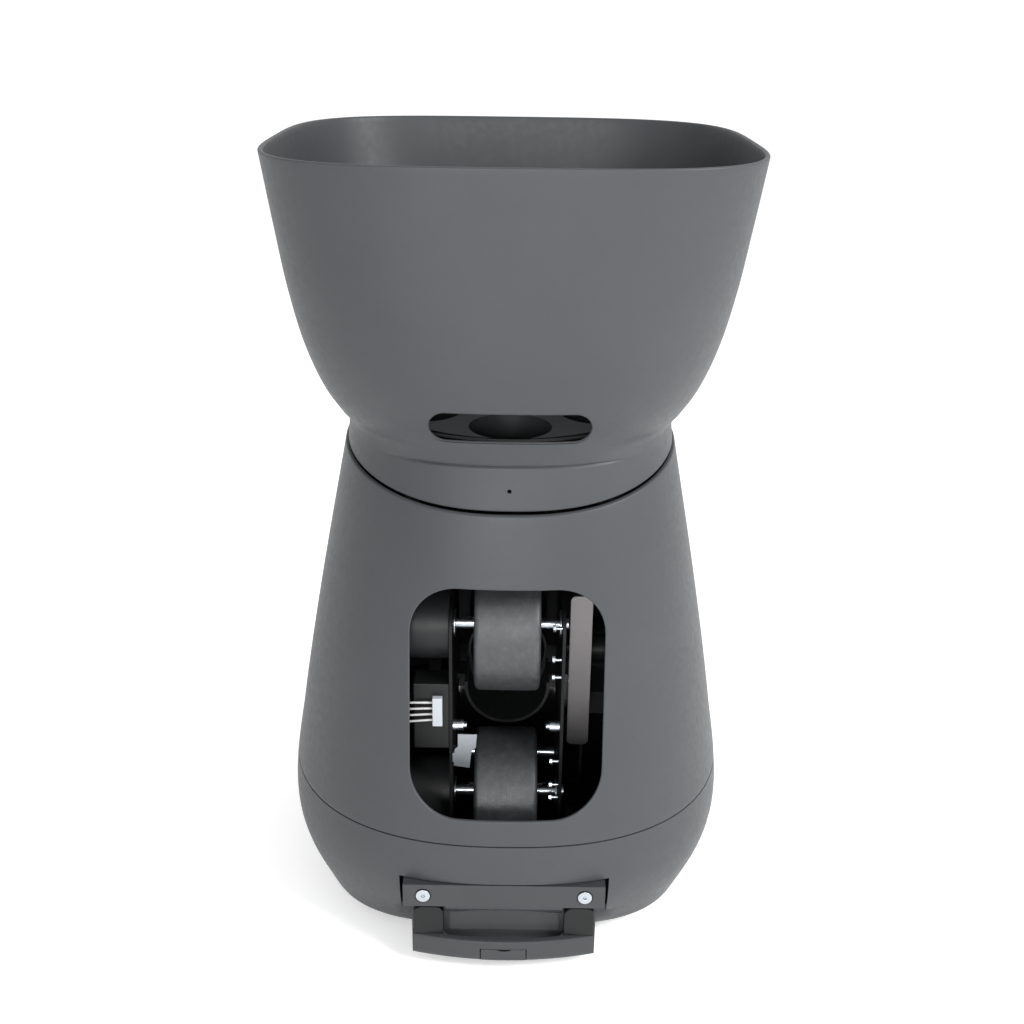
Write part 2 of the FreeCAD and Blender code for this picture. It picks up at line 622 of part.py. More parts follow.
def sensor_bracket():
    """Bent sheet tab that stands in front of the lower wheel's left edge."""
    outline = [(-49, 176), (-34, 174), (-32, 192), (-28, 196), (-27, 210), (-45, 210), (-45, 197), (-48, 194)]
    face = place(polygon_prism(outline, 1.5), "y", (0, -150, 0))
    leg = box(-PLATE_INNER, -46, -151.5, -138, 180, 190)
    return fuse(face, leg)


NODES["driver_box"] = box(DRIVER_LEFT, DRIVER_RIGHT, DRIVER_FRONT, DRIVER_BACK, DRIVER_LOW, DRIVER_HIGH)
NODES["lead_connector"] = box(CONNECTOR_LEFT, CONNECTOR_RIGHT, DRIVER_FRONT - 6, DRIVER_FRONT,
                              CONNECTOR_LOW, CONNECTOR_HIGH)
NODES["motor_lead"] = motor_lead()
NODES["sensor_bracket"] = sensor_bracket()


# ---------------------------------------------------------------- tilt drive
TILT_DISTANCE = TILT_MODULE * (TILT_TEETH + TILT_PINION_TEETH) / 2
SECTOR_X, SECTOR_THICK = PLATE_INNER + PLATE_THICK + 3, 4
SECTOR_HALF_ANGLE = 38


def tilt_sector():
    """Toothed sector behind the tilt pin, on a boss that spaces it off the right plate."""
    wheel = gear(TILT_TEETH, TILT_MODULE, SECTOR_THICK, 6)
    reach = 90
    side = reach * math.tan(math.radians(SECTOR_HALF_ANGLE))
    wedge = polygon_prism([(-14, -14), (0, -14), (reach, -side), (reach, side), (0, 14), (-14, 14)],
                          SECTOR_THICK)
    sector = place(wheel.common(wedge), "x", (SECTOR_X, TILT_Y, THROAT_Z))
    return fuse(sector, pipe("x", 13, 6, (SECTOR_X - 3, TILT_Y, THROAT_Z), 3))


def tilt_pinion():
    """Pinion on the tilt motor's shaft, in mesh behind the sector."""
    phase = math.pi + math.pi / TILT_PINION_TEETH
    pinion = gear(TILT_PINION_TEETH, TILT_MODULE, SECTOR_THICK + 2, 0.5, phase)
    pinion = place(pinion, "x", (SECTOR_X - 1, TILT_Y + TILT_DISTANCE, THROAT_Z))
    shaft = rod("x", 3, (SECTOR_X + SECTOR_THICK + 1, TILT_Y + TILT_DISTANCE, THROAT_Z), 26)
    return fuse(pinion, rod("x", 2, (SECTOR_X - 1, TILT_Y + TILT_DISTANCE, THROAT_Z), 8), shaft)


def tilt_pins():
    """Shouldered pins that the head tips on: one through each plate and its yoke arm."""
    left = rod("x", 6, (ARM_LEFT - 3, TILT_Y, THROAT_Z), -PLATE_INNER - ARM_LEFT + 3)
    right = rod("x", 6, (PLATE_INNER, TILT_Y, THROAT_Z), ARM_RIGHT + 3 - PLATE_INNER)
    return group([left, right])


NODES["tilt_sector"] = tilt_sector()
NODES["tilt_pinion"] = tilt_pinion()
NODES["tilt_pins"] = tilt_pins()
NODES["tilt_motor"] = rod("x", 15, (ARM_RIGHT + 3, TILT_Y + TILT_DISTANCE, THROAT_Z), 30).cut(
    rod("x", 3 + RUNNING, (ARM_RIGHT, TILT_Y + TILT_DISTANCE, THROAT_Z), 14))


# ---------------------------------------------------------------- pan drive and yoke
PAN_DISTANCE = PAN_MODULE * (PAN_TEETH + PAN_PINION_TEETH) / 2
YOKE_BOTTOM = PAN_GEAR_BOTTOM + PAN_GEAR_THICK
CHASSIS_TOP = CHASSIS_BOTTOM + CHASSIS_THICK


def yoke_arm(x):
    """Plate that rises from the turntable and leans forward to the tilt axis."""
    outline = [(-28, YOKE_BOTTOM), (28, YOKE_BOTTOM), (40, THROAT_Z - 30), (40, THROAT_Z + 24),
               (-30, THROAT_Z + 30), (-74, THROAT_Z + 24), (-74, THROAT_Z - 24), (-34, THROAT_Z - 60)]
    arm = place(polygon_prism(outline, 3), "x", (x, 0, 0))
    return arm.cut(rod("x", 6 + RUNNING, (x - 1, TILT_Y, THROAT_Z), 5))


def pan_yoke():
    """U-shaped yoke: a cross bar on the pan gear and an arm each side of the head."""
    left_edge, right_edge = ARM_LEFT - 3, ARM_RIGHT + 3
    bar = box(left_edge, right_edge, -28, 28, YOKE_BOTTOM, YOKE_BOTTOM + YOKE_THICK)
    left = yoke_arm(left_edge)
    right = yoke_arm(ARM_RIGHT).cut(
        rod("x", 3.5, (ARM_RIGHT - 1, TILT_Y + TILT_DISTANCE, THROAT_Z), 6))
    bar = bar.cut(rod("z", SPINDLE_RADIUS + RUNNING, (0, 0, YOKE_BOTTOM - 1), 10))
    return fuse(bar, left, right)


def arm_guard():
    """Pale sheet guard in front of the right arm, with a return that is fixed to the arm."""
    face = place(rounded_block(21, 160, 5, 2), "y", (ARM_RIGHT - 6.5, -92, THROAT_Z + 33))
    leg = box(ARM_RIGHT - 2, ARM_RIGHT, -92, -40, THROAT_Z - 18, THROAT_Z + 20)
    return fuse(face, leg.cut(rod("x", 8, (ARM_RIGHT - 3, TILT_Y, THROAT_Z), 6)))


def chassis_plate():
    """Steel plate on four stands over the tray's floor, with the pan spindle's hole."""
    plate = box(-128, 128, -44, 132, CHASSIS_BOTTOM, CHASSIS_TOP)
    plate = plate.cut(rod("z", SPINDLE_RADIUS, (0, 0, CHASSIS_BOTTOM - 1), 6))
    plate = plate.cut(rod("z", 3.6, (0, PAN_DISTANCE, CHASSIS_BOTTOM - 1), 6))
    for x, y in stand_places():
        plate = plate.cut(rod("z", 3, (x, y, CHASSIS_BOTTOM - 1), 6))
    return plate


def stand_places():
    """Centres of the chassis stands."""
    return [(x, y) for x in (-112, 112) for y in (-30, 118)]


def chassis_stands():
    """Posts from the tray's floor to the chassis plate, each with a screw head on top."""
    stands = []
    for x, y in stand_places():
        post = rod("z", 8, (x, y, BODY_FLOOR + 4), CHASSIS_BOTTOM - BODY_FLOOR - 4)
        stands.append(fuse(post, rod("z", 3, (x, y, CHASSIS_BOTTOM), 3), rod("z", 6, (x, y, CHASSIS_TOP), 3)))
    return group(stands)


def pan_spindle():
    """Fixed spindle with a thrust flange under the gear and a retaining cap over the yoke."""
    flange = rod("z", 24, (0, 0, CHASSIS_TOP), PAN_GEAR_BOTTOM - CHASSIS_TOP)
    top = YOKE_BOTTOM + YOKE_THICK
    post = rod("z", SPINDLE_RADIUS, (0, 0, CHASSIS_BOTTOM), top + 0.2 - CHASSIS_BOTTOM)
    return fuse(post, flange, rod("z", 17, (0, 0, top + 0.2), 3))


def pan_pinion():
    """Pinion and shaft of the pan motor, in mesh behind the pan gear."""
    phase = -math.pi / 2 + math.pi / PAN_PINION_TEETH
    pinion = gear(PAN_PINION_TEETH, PAN_MODULE, PAN_GEAR_THICK, 0.5, phase)
    pinion = pinion.translated(Vector(0, PAN_DISTANCE, PAN_GEAR_BOTTOM))
    return fuse(pinion, rod("z", 3, (0, PAN_DISTANCE, CHASSIS_BOTTOM + 0.5), 26))


NODES["pan_yoke"] = pan_yoke()
NODES["arm_guard"] = arm_guard()
NODES["pan_gear"] = gear(PAN_TEETH, PAN_MODULE, PAN_GEAR_THICK, SPINDLE_RADIUS + RUNNING,
                         math.pi / 2).translated(Vector(0, 0, PAN_GEAR_BOTTOM))
NODES["pan_pinion"] = pan_pinion()
NODES["pan_spindle"] = pan_spindle()
NODES["chassis_plate"] = chassis_plate()
NODES["chassis_stands"] = chassis_stands()
PAN_MOTOR_BOTTOM = YOKE_BOTTOM + 1
NODES["pan_motor"] = fuse(
    rod("z", 17, (0, PAN_DISTANCE, PAN_MOTOR_BOTTOM), 46).cut(
        rod("z", 3 + RUNNING, (0, PAN_DISTANCE, PAN_MOTOR_BOTTOM - 1), 14)),
    box(-22, -16.3, PAN_DISTANCE - 6, PAN_DISTANCE + 6, CHASSIS_TOP, PAN_MOTOR_BOTTOM + 8),
    box(16.3, 22, PAN_DISTANCE - 6, PAN_DISTANCE + 6, CHASSIS_TOP, PAN_MOTOR_BOTTOM + 8))


# ---------------------------------------------------------------- trolley handle
BEZEL_FRONT, BEZEL_STEP, BEZEL_RECESS = -216, -203, -191
SCREW_X, SCREW_Z = 74.5, 78


def oval_tube(size, start, length, wall=TUBE_WALL):
    """Rounded tube along +Y, closed at neither end."""
    width, height = size
    outer = place(rounded_block(width, height, height / 2 - 0.5, length), "y", (0, start + length, 0))
    core = place(rounded_block(width - 2 * wall, height - 2 * wall, height / 2 - wall - 0.5, length + 2),
                 "y", (0, start + length + 1, 0))
    return outer.cut(core).translated(Vector(TUBE_X, 0, TUBE_Z))


def handle_bezel():
    """Housing in the notch: a wide upper plate, and a stepped lower face with an arched finger recess."""
    upper = box(-93, 93, BEZEL_FRONT, NOTCH_BACK, 66, NOTCH_TOP - 1.2)
    lower = box(-86, 86, BEZEL_STEP, NOTCH_BACK, 15, 66)
    bezel = upper.fuse(lower)
    arch = rod("y", 160, (0, BEZEL_STEP - 1, 63 - 160), BEZEL_RECESS - BEZEL_STEP + 1)
    recess = box(-52, 52, BEZEL_STEP - 1, BEZEL_RECESS, 30, 66).common(arch)
    bezel = bezel.cut(recess)
    width, height = OUTER_TUBE
    for side in (-1, 1):
        hole = place(rounded_block(width, height, height / 2 - 0.5, 40), "y", (side * TUBE_X, -170, TUBE_Z))
        bezel = bezel.cut(hole)
        bezel = bezel.cut(rod("y", 3, (side * SCREW_X, -230, SCREW_Z), 60))
        bezel = bezel.cut(rod("y", 7.6, (side * SCREW_X, -230, SCREW_Z), 230 + BEZEL_FRONT + 1.5))
    return bezel.removeSplitter()


def grip():
    """Bar bowed forward in plan, with a pocket in its underside for the release button."""
    arc_radius = (GRIP_HALF ** 2 + GRIP_BOW ** 2) / (2 * GRIP_BOW)
    front = rod("z", arc_radius, (0, GRIP_FRONT + arc_radius, GRIP_LOW), GRIP_HIGH - GRIP_LOW)
    back = rod("z", arc_radius + 20, (0, GRIP_FRONT + GRIP_DEPTH + arc_radius + 20, GRIP_LOW - 1), 60)
    bar = box(-GRIP_HALF, GRIP_HALF, GRIP_FRONT - 1, BEZEL_STEP - 2, GRIP_LOW, GRIP_HIGH)
    bar = bar.common(front).cut(back)
    ends = [box(low, low + 28, -216, BEZEL_STEP - 2, GRIP_LOW, GRIP_HIGH).common(front)
            for low in (-GRIP_HALF + 1, GRIP_HALF - 29)]
    bar = fuse(bar, *ends)
    edges = [edge for edge in bar.Edges if edge.Length > 60 and edge.BoundBox.YMin < -220]
    bar = bar.makeFillet(3.5, edges)
    pocket = box(-BUTTON_WIDTH / 2 - 0.6, BUTTON_WIDTH / 2 + 0.6, -240, GRIP_FRONT + 11, GRIP_LOW - 1,
                 GRIP_LOW + BUTTON_HEIGHT + 0.6)
    return bar.cut(pocket)


def release_button():
    """Push button that follows the bar's bow and stands in its pocket."""
    arc_radius = (GRIP_HALF ** 2 + GRIP_BOW ** 2) / (2 * GRIP_BOW)
    front = rod("z", arc_radius, (0, GRIP_FRONT + arc_radius, 0), 60)
    back = GRIP_FRONT + 7
    button = box(-BUTTON_WIDTH / 2, BUTTON_WIDTH / 2, -240, back, GRIP_LOW + 1, GRIP_LOW + BUTTON_HEIGHT)
    button = button.common(front)
    dip = rod("y", 14, (0, -240, GRIP_LOW + BUTTON_HEIGHT + 12), 60)
    return button.cut(dip)


def grip_arm():
    """Black upright from the end of the bar to the tube, with a collar that stops at the socket."""
    arm = box(TUBE_X - 14, TUBE_X + 14, -215, BEZEL_STEP - 1, GRIP_HIGH, TUBE_Z + 14)
    edges = [edge for edge in arm.Edges
             if abs(edge.tangentAt(edge.FirstParameter).y) > 0.9 and edge.BoundBox.ZMin > TUBE_Z]
    return arm.makeFillet(8, edges)


def tube_pair(size, start, length):
    """The same tube on both sides of the handle."""
    return group(both_sides(oval_tube(size, start, length)))


NODES["handle_bezel"] = handle_bezel()
NODES["bezel_screws"] = group([
    fuse(rod("y", 6.5, (side * SCREW_X, BEZEL_FRONT - 1, SCREW_Z), 2.5),
         rod("y", 2.9, (side * SCREW_X, BEZEL_FRONT + 1.5, SCREW_Z), 24)).cut(
        place(polygon_prism([(2 * math.cos(math.radians(60 * k)), 2 * math.sin(math.radians(60 * k)))
                             for k in range(6)], 2), "y", (side * SCREW_X, BEZEL_FRONT + 0.8, SCREW_Z)))
    for side in (-1, 1)])
NODES["handle_outer_tubes"] = tube_pair(OUTER_TUBE, BEZEL_STEP, TUBE_BACK - BEZEL_STEP)
NODES["handle_mid_tubes"] = tube_pair(MID_TUBE, BEZEL_STEP, TUBE_BACK - 4 - BEZEL_STEP)
NODES["handle_inner_tubes"] = tube_pair(INNER_TUBE, BEZEL_STEP - 1, TUBE_BACK - 8 - BEZEL_STEP)
NODES["handle_grip"] = grip()
NODES["grip_arms"] = group(both_sides(grip_arm()))
NODES["release_button"] = release_button()


# ---------------------------------------------------------------- transport wheels
def roller_tyre(x):
    """Solid rubber tyre with rounded shoulders."""
    start = (x - ROLLER_WIDTH / 2, ROLLER_Y, ROLLER_Z)
    tyre = pipe("x", ROLLER_RADIUS, ROLLER_RADIUS - 10, start, ROLLER_WIDTH)
    edges = [edge for edge in tyre.Edges if abs(edge.Length - 2 * math.pi * ROLLER_RADIUS) < 1]
    return tyre.makeFillet(5, edges)


def roller_hub(x):
    """Dished hub with five round windows."""
    start = (x - ROLLER_WIDTH / 2 + 2, ROLLER_Y, ROLLER_Z)
    hub = pipe("x", ROLLER_RADIUS - 10, 4 + RUNNING, start, ROLLER_WIDTH - 4)
    for side in (-1, 1):
        low = x + 3 if side > 0 else x - 3 - ROLLER_WIDTH / 2
        hub = hub.cut(pipe("x", ROLLER_RADIUS - 13, 9, (low, ROLLER_Y, ROLLER_Z), ROLLER_WIDTH / 2))
    for window in range(5):
        angle = math.radians(90 + 72 * window)
        centre = (x - 20, ROLLER_Y + 19 * math.cos(angle), ROLLER_Z + 19 * math.sin(angle))
        hub = hub.cut(rod("x", 6.5, centre, 40))
    return hub


def roller_axles():
    """Stub axle of each transport wheel, from wall to wall of its well."""
    span = ROLLER_WIDTH + 2 * WELL_CLEARANCE
    axles = []
    for side in (-1, 1):
        start = side * ROLLER_X - span / 2
        axle = rod("x", 4, (start, ROLLER_Y, ROLLER_Z), span)
        axles.append(fuse(axle, rod("x", AXLE_RADIUS, (start - 3, ROLLER_Y, ROLLER_Z), 4),
                          rod("x", AXLE_RADIUS, (start + span - 1, ROLLER_Y, ROLLER_Z), 4)))
    return group(axles)


for label, x in (("left", -ROLLER_X), ("right", ROLLER_X)):
    NODES[label + "_roller_tyre"] = roller_tyre(x)
    NODES[label + "_roller_hub"] = roller_hub(x)
NODES["roller_axles"] = roller_axles()


# ---------------------------------------------------------------- battery
def battery_pack():
    """Slab pack with a finger pull in its end; it slides into the tray from the rear."""
    height = BATTERY_HIGH - BATTERY_LOW
    middle = (BATTERY_HIGH + BATTERY_LOW) / 2
    pack = rounded_block(2 * BATTERY_HALF, height, 5, BATTERY_BACK - BATTERY_FRONT)
    pack = place(pack, "y", (0, BATTERY_BACK, middle))
    pack = pack.cut(place(rounded_block(64, 24, 9, 12), "y", (0, BATTERY_BACK + 0.5, middle)))
    return pack.fuse(box(-30, 30, BATTERY_BACK - 4.5, BATTERY_BACK - 0.5, middle + 4, middle + 13))


NODES["battery_pack"] = battery_pack()


# ---------------------------------------------------------------- rear panel
PANEL_BUTTONS = (-16, 16)
PANEL_BUTTON_RADIUS, PANEL_BUTTON_Z = 5, 1
ROCKER_X, ROCKER_Z, ROCKER_WIDTH, ROCKER_HEIGHT = -25, -22, 22, 14
ROCKER_AXIS_Y = -2
SOCKET_X, SOCKET_RADIUS = 25, 8
LENS_WIDTH, LENS_HEIGHT, LENS_Z = 66, 20, 22


def panel_plate():
    """Panel with a display recess, button holes, the rocker's opening and the charging socket's hole."""
    panel = facing_rear(PANEL_WIDTH, PANEL_HEIGHT, 9, PANEL_FACE, PANEL_BACK)
    panel = panel.cut(facing_rear(LENS_WIDTH, LENS_HEIGHT, 3, 5, PANEL_FACE - 2.5, 0, LENS_Z))
    for x in PANEL_BUTTONS:
        panel = panel.cut(rod("y", PANEL_BUTTON_RADIUS + 0.1, (x, -20, PANEL_BUTTON_Z), 40))
    panel = panel.cut(box(ROCKER_X - ROCKER_WIDTH / 2, ROCKER_X + ROCKER_WIDTH / 2, -20, 20,
                          ROCKER_Z - ROCKER_HEIGHT / 2 - 1.2, ROCKER_Z + ROCKER_HEIGHT / 2 + 1.2))
    return panel.cut(rod("y", SOCKET_RADIUS, (SOCKET_X, -20, ROCKER_Z), 40))


def power_rocker():
    """Rocker with a shallow V face and a round back, centred on the axis it tips about."""
    half, low = ROCKER_HEIGHT / 2, ROCKER_Z
    outline = [(-6, low - half + 1), (-6, low + half - 1), (2.6, low + half), (1.2, low), (2.6, low - half)]
    start = ROCKER_X - ROCKER_WIDTH / 2 + 0.4
    rocker = place(polygon_prism(outline, ROCKER_WIDTH - 0.8), "x", (start, 0, 0))
    return rocker.fuse(rod("x", 5, (start, ROCKER_AXIS_Y, low), ROCKER_WIDTH - 0.8)).removeSplitter()


def charge_socket():
    """Barrel socket with a centre pin."""
    barrel = pipe("y", SOCKET_RADIUS, 4.6, (SOCKET_X, -14, ROCKER_Z), 14.5 + PANEL_FACE)
    pin = rod("y", 1.2, (SOCKET_X, -14, ROCKER_Z), 12)
    return fuse(barrel, rod("y", 4.6, (SOCKET_X, -14, ROCKER_Z), 2), pin)


NODES["panel_plate"] = panel_place(panel_plate())
NODES["display_lens"] = panel_place(
    facing_rear(LENS_WIDTH - 0.4, LENS_HEIGHT - 0.4, 2.8, PANEL_FACE - 0.6, PANEL_FACE - 2.5, 0, LENS_Z))
for number, x in enumerate(PANEL_BUTTONS, 1):
    NODES["panel_button_%d" % number] = panel_place(
        rod("y", PANEL_BUTTON_RADIUS, (x, PANEL_BACK + 1, PANEL_BUTTON_Z), PANEL_FACE - PANEL_BACK + 0.8))
NODES["power_rocker"] = panel_place(power_rocker())
NODES["charge_socket"] = panel_place(charge_socket())


# ---------------------------------------------------------------- write the nodes
os.makedirs("parts", exist_ok=True)
for name, shape in NODES.items():
    shape.exportStep("parts/%s.step" % name)
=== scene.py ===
"""Looks of the tennis ball machine: finely built shells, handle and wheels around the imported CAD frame."""
import bmesh
import bpy
import json
import math
from mathutils import Matrix, Vector


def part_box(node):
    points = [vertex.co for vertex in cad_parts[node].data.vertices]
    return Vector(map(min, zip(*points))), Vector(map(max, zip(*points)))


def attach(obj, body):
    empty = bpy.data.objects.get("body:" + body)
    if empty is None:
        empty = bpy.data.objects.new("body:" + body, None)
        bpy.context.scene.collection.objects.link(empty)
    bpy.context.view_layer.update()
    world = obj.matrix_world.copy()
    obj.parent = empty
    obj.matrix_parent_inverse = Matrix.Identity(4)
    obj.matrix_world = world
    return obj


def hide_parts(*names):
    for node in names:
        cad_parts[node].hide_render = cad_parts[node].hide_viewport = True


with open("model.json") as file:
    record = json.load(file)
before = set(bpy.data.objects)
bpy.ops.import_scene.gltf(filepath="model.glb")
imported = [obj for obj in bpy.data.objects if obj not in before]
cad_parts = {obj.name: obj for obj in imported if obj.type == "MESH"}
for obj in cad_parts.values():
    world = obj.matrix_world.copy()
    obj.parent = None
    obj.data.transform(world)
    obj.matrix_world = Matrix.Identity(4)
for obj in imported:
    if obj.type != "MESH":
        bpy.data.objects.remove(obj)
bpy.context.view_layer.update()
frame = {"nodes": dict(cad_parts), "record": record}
NODES = frame["nodes"]
BODY_OF = {node: body for body, nodes in frame["record"]["behaviour"]["bodies"].items() for node in nodes}
SLOT_OF = {part["node"]: part["material_slot"] for part in frame["record"]["subparts"]}
MM = 0.001

# ---------------------------------------------------------------- outer form, in millimetres
# A station is (height, half width, squareness), as in the CAD source.
BODY_STATIONS = [
    (10, 163, 3.6), (20, 180, 3.3), (36, 193, 3.0), (62, 207, 2.7), (100, 217, 2.45),
    (190, 205.5, 2.4), (300, 187, 2.4), (465, 155, 2.4),
]
HOPPER_STATIONS = [
    (428, 158.5, 2.4), (470, 152.8, 2.4), (484, 152, 2.45), (500, 161.5, 2.55), (520, 172.5, 2.7),
    (560, 186.5, 2.95), (610, 197.7, 3.1), (670, 206, 3.35), (730, 213.5, 3.6),
]
SHELL_WALL, SHELL_EDGE = 3.5, 1.0
BOWL_WALL, BOWL_EDGE = 4.0, 1.6
PARTING_HEIGHT, PARTING_GAP = 131, 0.8

# The seam between body and hopper lies on a wide cylinder along X. Rows bend onto it between two heights.
SADDLE_TOP, SADDLE_DROP, SADDLE_HALF, SEAM_GAP = 461, 27, 156, 1.4
SADDLE_LOW = SADDLE_TOP - SADDLE_DROP
COVER_BEND, HOPPER_BEND = (380, 425), (438, 469)

# Rows of the meshes come in bands of (upper end, spacing); the fold across the hopper needs the closest ones.
COVER_ROWS = [(380, 6), (SADDLE_LOW, 4)]
HOPPER_ROWS = [(438, 2), (469, 3), (478, 0.45), (500, 2), (HOPPER_STATIONS[-1][0], 6)]
ROUND_STEPS = 256

WINDOW = {"width": 173, "low": 156, "high": 368, "corner": 44, "edge": 1.5}
SLOT = {"width": 136, "low": 499, "high": 528, "corner": 14.4, "edge": 1.2}
PINHOLE = {"width": 3.6, "low": 451.2, "high": 454.8, "corner": 1.79, "edge": 0.35}
PANEL_OPENING = {"width": 96.2, "low": 292.6, "high": 367.4, "corner": 9, "edge": 1.0}
CUTTER_SPAN = (120, 260)    # reach of an opening's cutter from the axis, past both faces of the wall

CREASE = {"height": 474.1, "top": 503, "below": 6, "half_span": 122, "fade": 60, "depth": 1.3, "width": 1.1}

# The grip is bowed in plan and fills out towards its ends, where the arms hold it.
GRIP = {
    "half": 85, "low": 12, "high": 34, "front": -226, "bow": 11, "end_back": -205,
    "thickness": 13, "arms_from": 52, "arms_blend": 6,
}
POCKET = {"half": 21.7, "low": 0.8, "high": 13.8, "depth": 11}    # from the grip's underside and front
SCOOP = {"half": 50, "low": 20, "spring": 38, "rise": 21}    # an arch: upright sides, then half an ellipse
RAMP_HALF, FILLER_HALF, SCOOP_HALF = 54, 52.2, 60
AHEAD_OF_GRIP, BEHIND_SCOOP = -245, -180

# ---------------------------------------------------------------- edge rounding of CAD parts, in millimetres
# The cover, the hopper and the four tyres are not listed: they are built from scratch further down.
SOFTENED = {
    "base_tray": 0.7, "handle_bezel": 1.3, "handle_grip": 1.2, "grip_arms": 0.9, "release_button": 0.8,
    "head_left_plate": 0.4, "head_right_plate": 0.4, "arm_guard": 0.5, "pan_yoke": 0.6, "driver_box": 1.2,
    "lead_connector": 0.5, "sensor_bracket": 0.25, "wheel_motors": 1.2, "plate_standoffs": 0.35,
    "wheel_bearings": 0.3, "upper_wheel_shaft": 0.4, "lower_wheel_shaft": 0.4, "plate_bolts": 0.25,
    "upper_wheel_hub": 0.6, "lower_wheel_hub": 0.6, "bezel_screws": 0.35, "panel_plate": 0.8,
    "display_lens": 0.3, "panel_button_1": 0.5, "panel_button_2": 0.5, "power_rocker": 0.6,
    "charge_socket": 0.4, "battery_pack": 1.2, "left_roller_hub": 0.6, "right_roller_hub": 0.6,
    "roller_axles": 0.4, "rubber_feet": 0.8, "feed_rotor": 1.5, "feed_deck": 0.5, "hopper_funnel": 0.6,
    "ball_trough": 0.5, "chassis_plate": 0.5, "deck_brackets": 0.6, "tilt_pins": 0.3, "tilt_sector": 0.2,
    "parting_lip": 0.4, "drop_chute": 0.5, "feed_motor": 0.6, "tilt_motor": 0.6, "pan_motor": 0.6,
    "chassis_stands": 0.4, "pan_gear": 0.15, "pan_pinion": 0.15, "tilt_pinion": 0.15, "pan_spindle": 0.4,
    "handle_outer_tubes": 0.3, "handle_mid_tubes": 0.3, "handle_inner_tubes": 0.3, "motor_lead": 0.2,
}
SHARP_ANGLE, LINER_SHARP_ANGLE, FLAT_ANGLE = 38, 40, 0.1    # degrees
IMPORT_WELD, SOFTEN_WELD = 0.02, 0.05
BEVEL_SEGMENTS = 3

# ---------------------------------------------------------------- camera and surroundings
# Places in metres, angles in degrees, lens and sensor in millimetres.
CAMERA_PLACE, CAMERA_TILT, CAMERA_ROLL = (0.0025, -1.194, 0.85), 68.2, 0.8
CAMERA_LENS, CAMERA_SENSOR = 45.7, 36
BRIGHTEST_WAY = (0.45, 0.8, -0.35)
SURROUND_LEVELS = {"From Min": -0.7, "From Max": 0.6, "To Min": 0.66, "To Max": 1.03}
FLOOR_REACH = 60


# ---------------------------------------------------------------- numbers
def unit(value):
    """Value kept between 0 and 1."""
    return min(max(value, 0), 1)


def spread(low, high, step):
    """Even values between two ends, both included."""
    count = max(1, round((high - low) / step))
    return [low + (high - low) * k / count for k in range(count + 1)]


def row_heights(start, bands):
    """Heights from a start upwards, in bands of (upper end, spacing)."""
    heights = [start]
    for end, step in bands:
        heights += spread(start, end, step)[1:]
        start = end
    return heights


def quarter_turn(steps):
    """Angles of a quarter turn, both ends included."""
    return [math.radians(90 * step / steps) for step in range(steps + 1)]


# ---------------------------------------------------------------- mesh helpers
def new_object(name, mesh):
    """Object in the scene, from a mesh in metres."""
    thing = bpy.data.objects.new(name, mesh)
    bpy.context.scene.collection.objects.link(thing)
    return thing


def smooth(mesh):
    """Shades every face of a mesh smooth."""
    mesh.polygons.foreach_set("use_smooth", [True] * len(mesh.polygons))


def object_from(name, bm):
    """Object from a bmesh, with outward normals and smooth faces."""
    bmesh.ops.recalc_face_normals(bm, faces=bm.faces[:])
    mesh = bpy.data.meshes.new(name)
    bm.to_mesh(mesh)
    bm.free()
    smooth(mesh)
    return new_object(name, mesh)


def bridge(bm, near, far):
    """Band of faces between two closed rows of vertices; returns the faces."""
    faces = []
    for k in range(len(near)):
        after = (k + 1) % len(near)
        faces.append(bm.faces.new((near[k], near[after], far[after], far[k])))
    return faces


def apply_modifiers(thing):
    """Bakes the modifier stack into the object's own mesh."""
    depsgraph = bpy.context.evaluated_depsgraph_get()
    mesh = bpy.data.meshes.new_from_object(thing.evaluated_get(depsgraph), depsgraph=depsgraph)
    thing.modifiers.clear()
    thing.data = mesh
    return thing


def combine(thing, others, operation="DIFFERENCE"):
    """Cuts away, joins or keeps the overlap with the others, one after another, and deletes them."""
    for other in others:
        step = thing.modifiers.new("step", "BOOLEAN")
        step.operation = operation
        step.solver = "EXACT"
        step.object = other
        apply_modifiers(thing)
        bpy.data.objects.remove(other)
    return thing


def soften(thing, width):
    """Rounds the sharp edges by a width in metres and keeps the flats flat."""
    weld = thing.modifiers.new("weld", "WELD")
    weld.merge_threshold = SOFTEN_WELD * MM
    flatten = thing.modifiers.new("flatten", "DECIMATE")
    flatten.decimate_type = "DISSOLVE"
    flatten.angle_limit = math.radians(FLAT_ANGLE)
    bevel = thing.modifiers.new("bevel", "BEVEL")
    bevel.width = width
    bevel.segments = BEVEL_SEGMENTS
    bevel.limit_method = "ANGLE"
    bevel.angle_limit = math.radians(SHARP_ANGLE)
    bevel.loop_slide = False
    apply_modifiers(thing)
    smooth(thing.data)
    weighted = thing.modifiers.new("weighted", "WEIGHTED_NORMAL")
    weighted.keep_sharp = False
    weighted.weight = 100
    return apply_modifiers(thing)


def prism(outline, start, end, axis="y"):
    """Closed prism along Y from an outline in X and Z, or along X from an outline in Y and Z. Millimetres."""
    bm = bmesh.new()
    ends = []
    for along in (start, end):
        spots = [(along, a, b) if axis == "x" else (a, along, b) for a, b in outline]
        ends.append([bm.verts.new(Vector(spot) * MM) for spot in spots])
    near, far = ends
    bm.faces.new(near)
    bm.faces.new(list(reversed(far)))
    bridge(bm, near, far)
    return object_from("prism", bm)


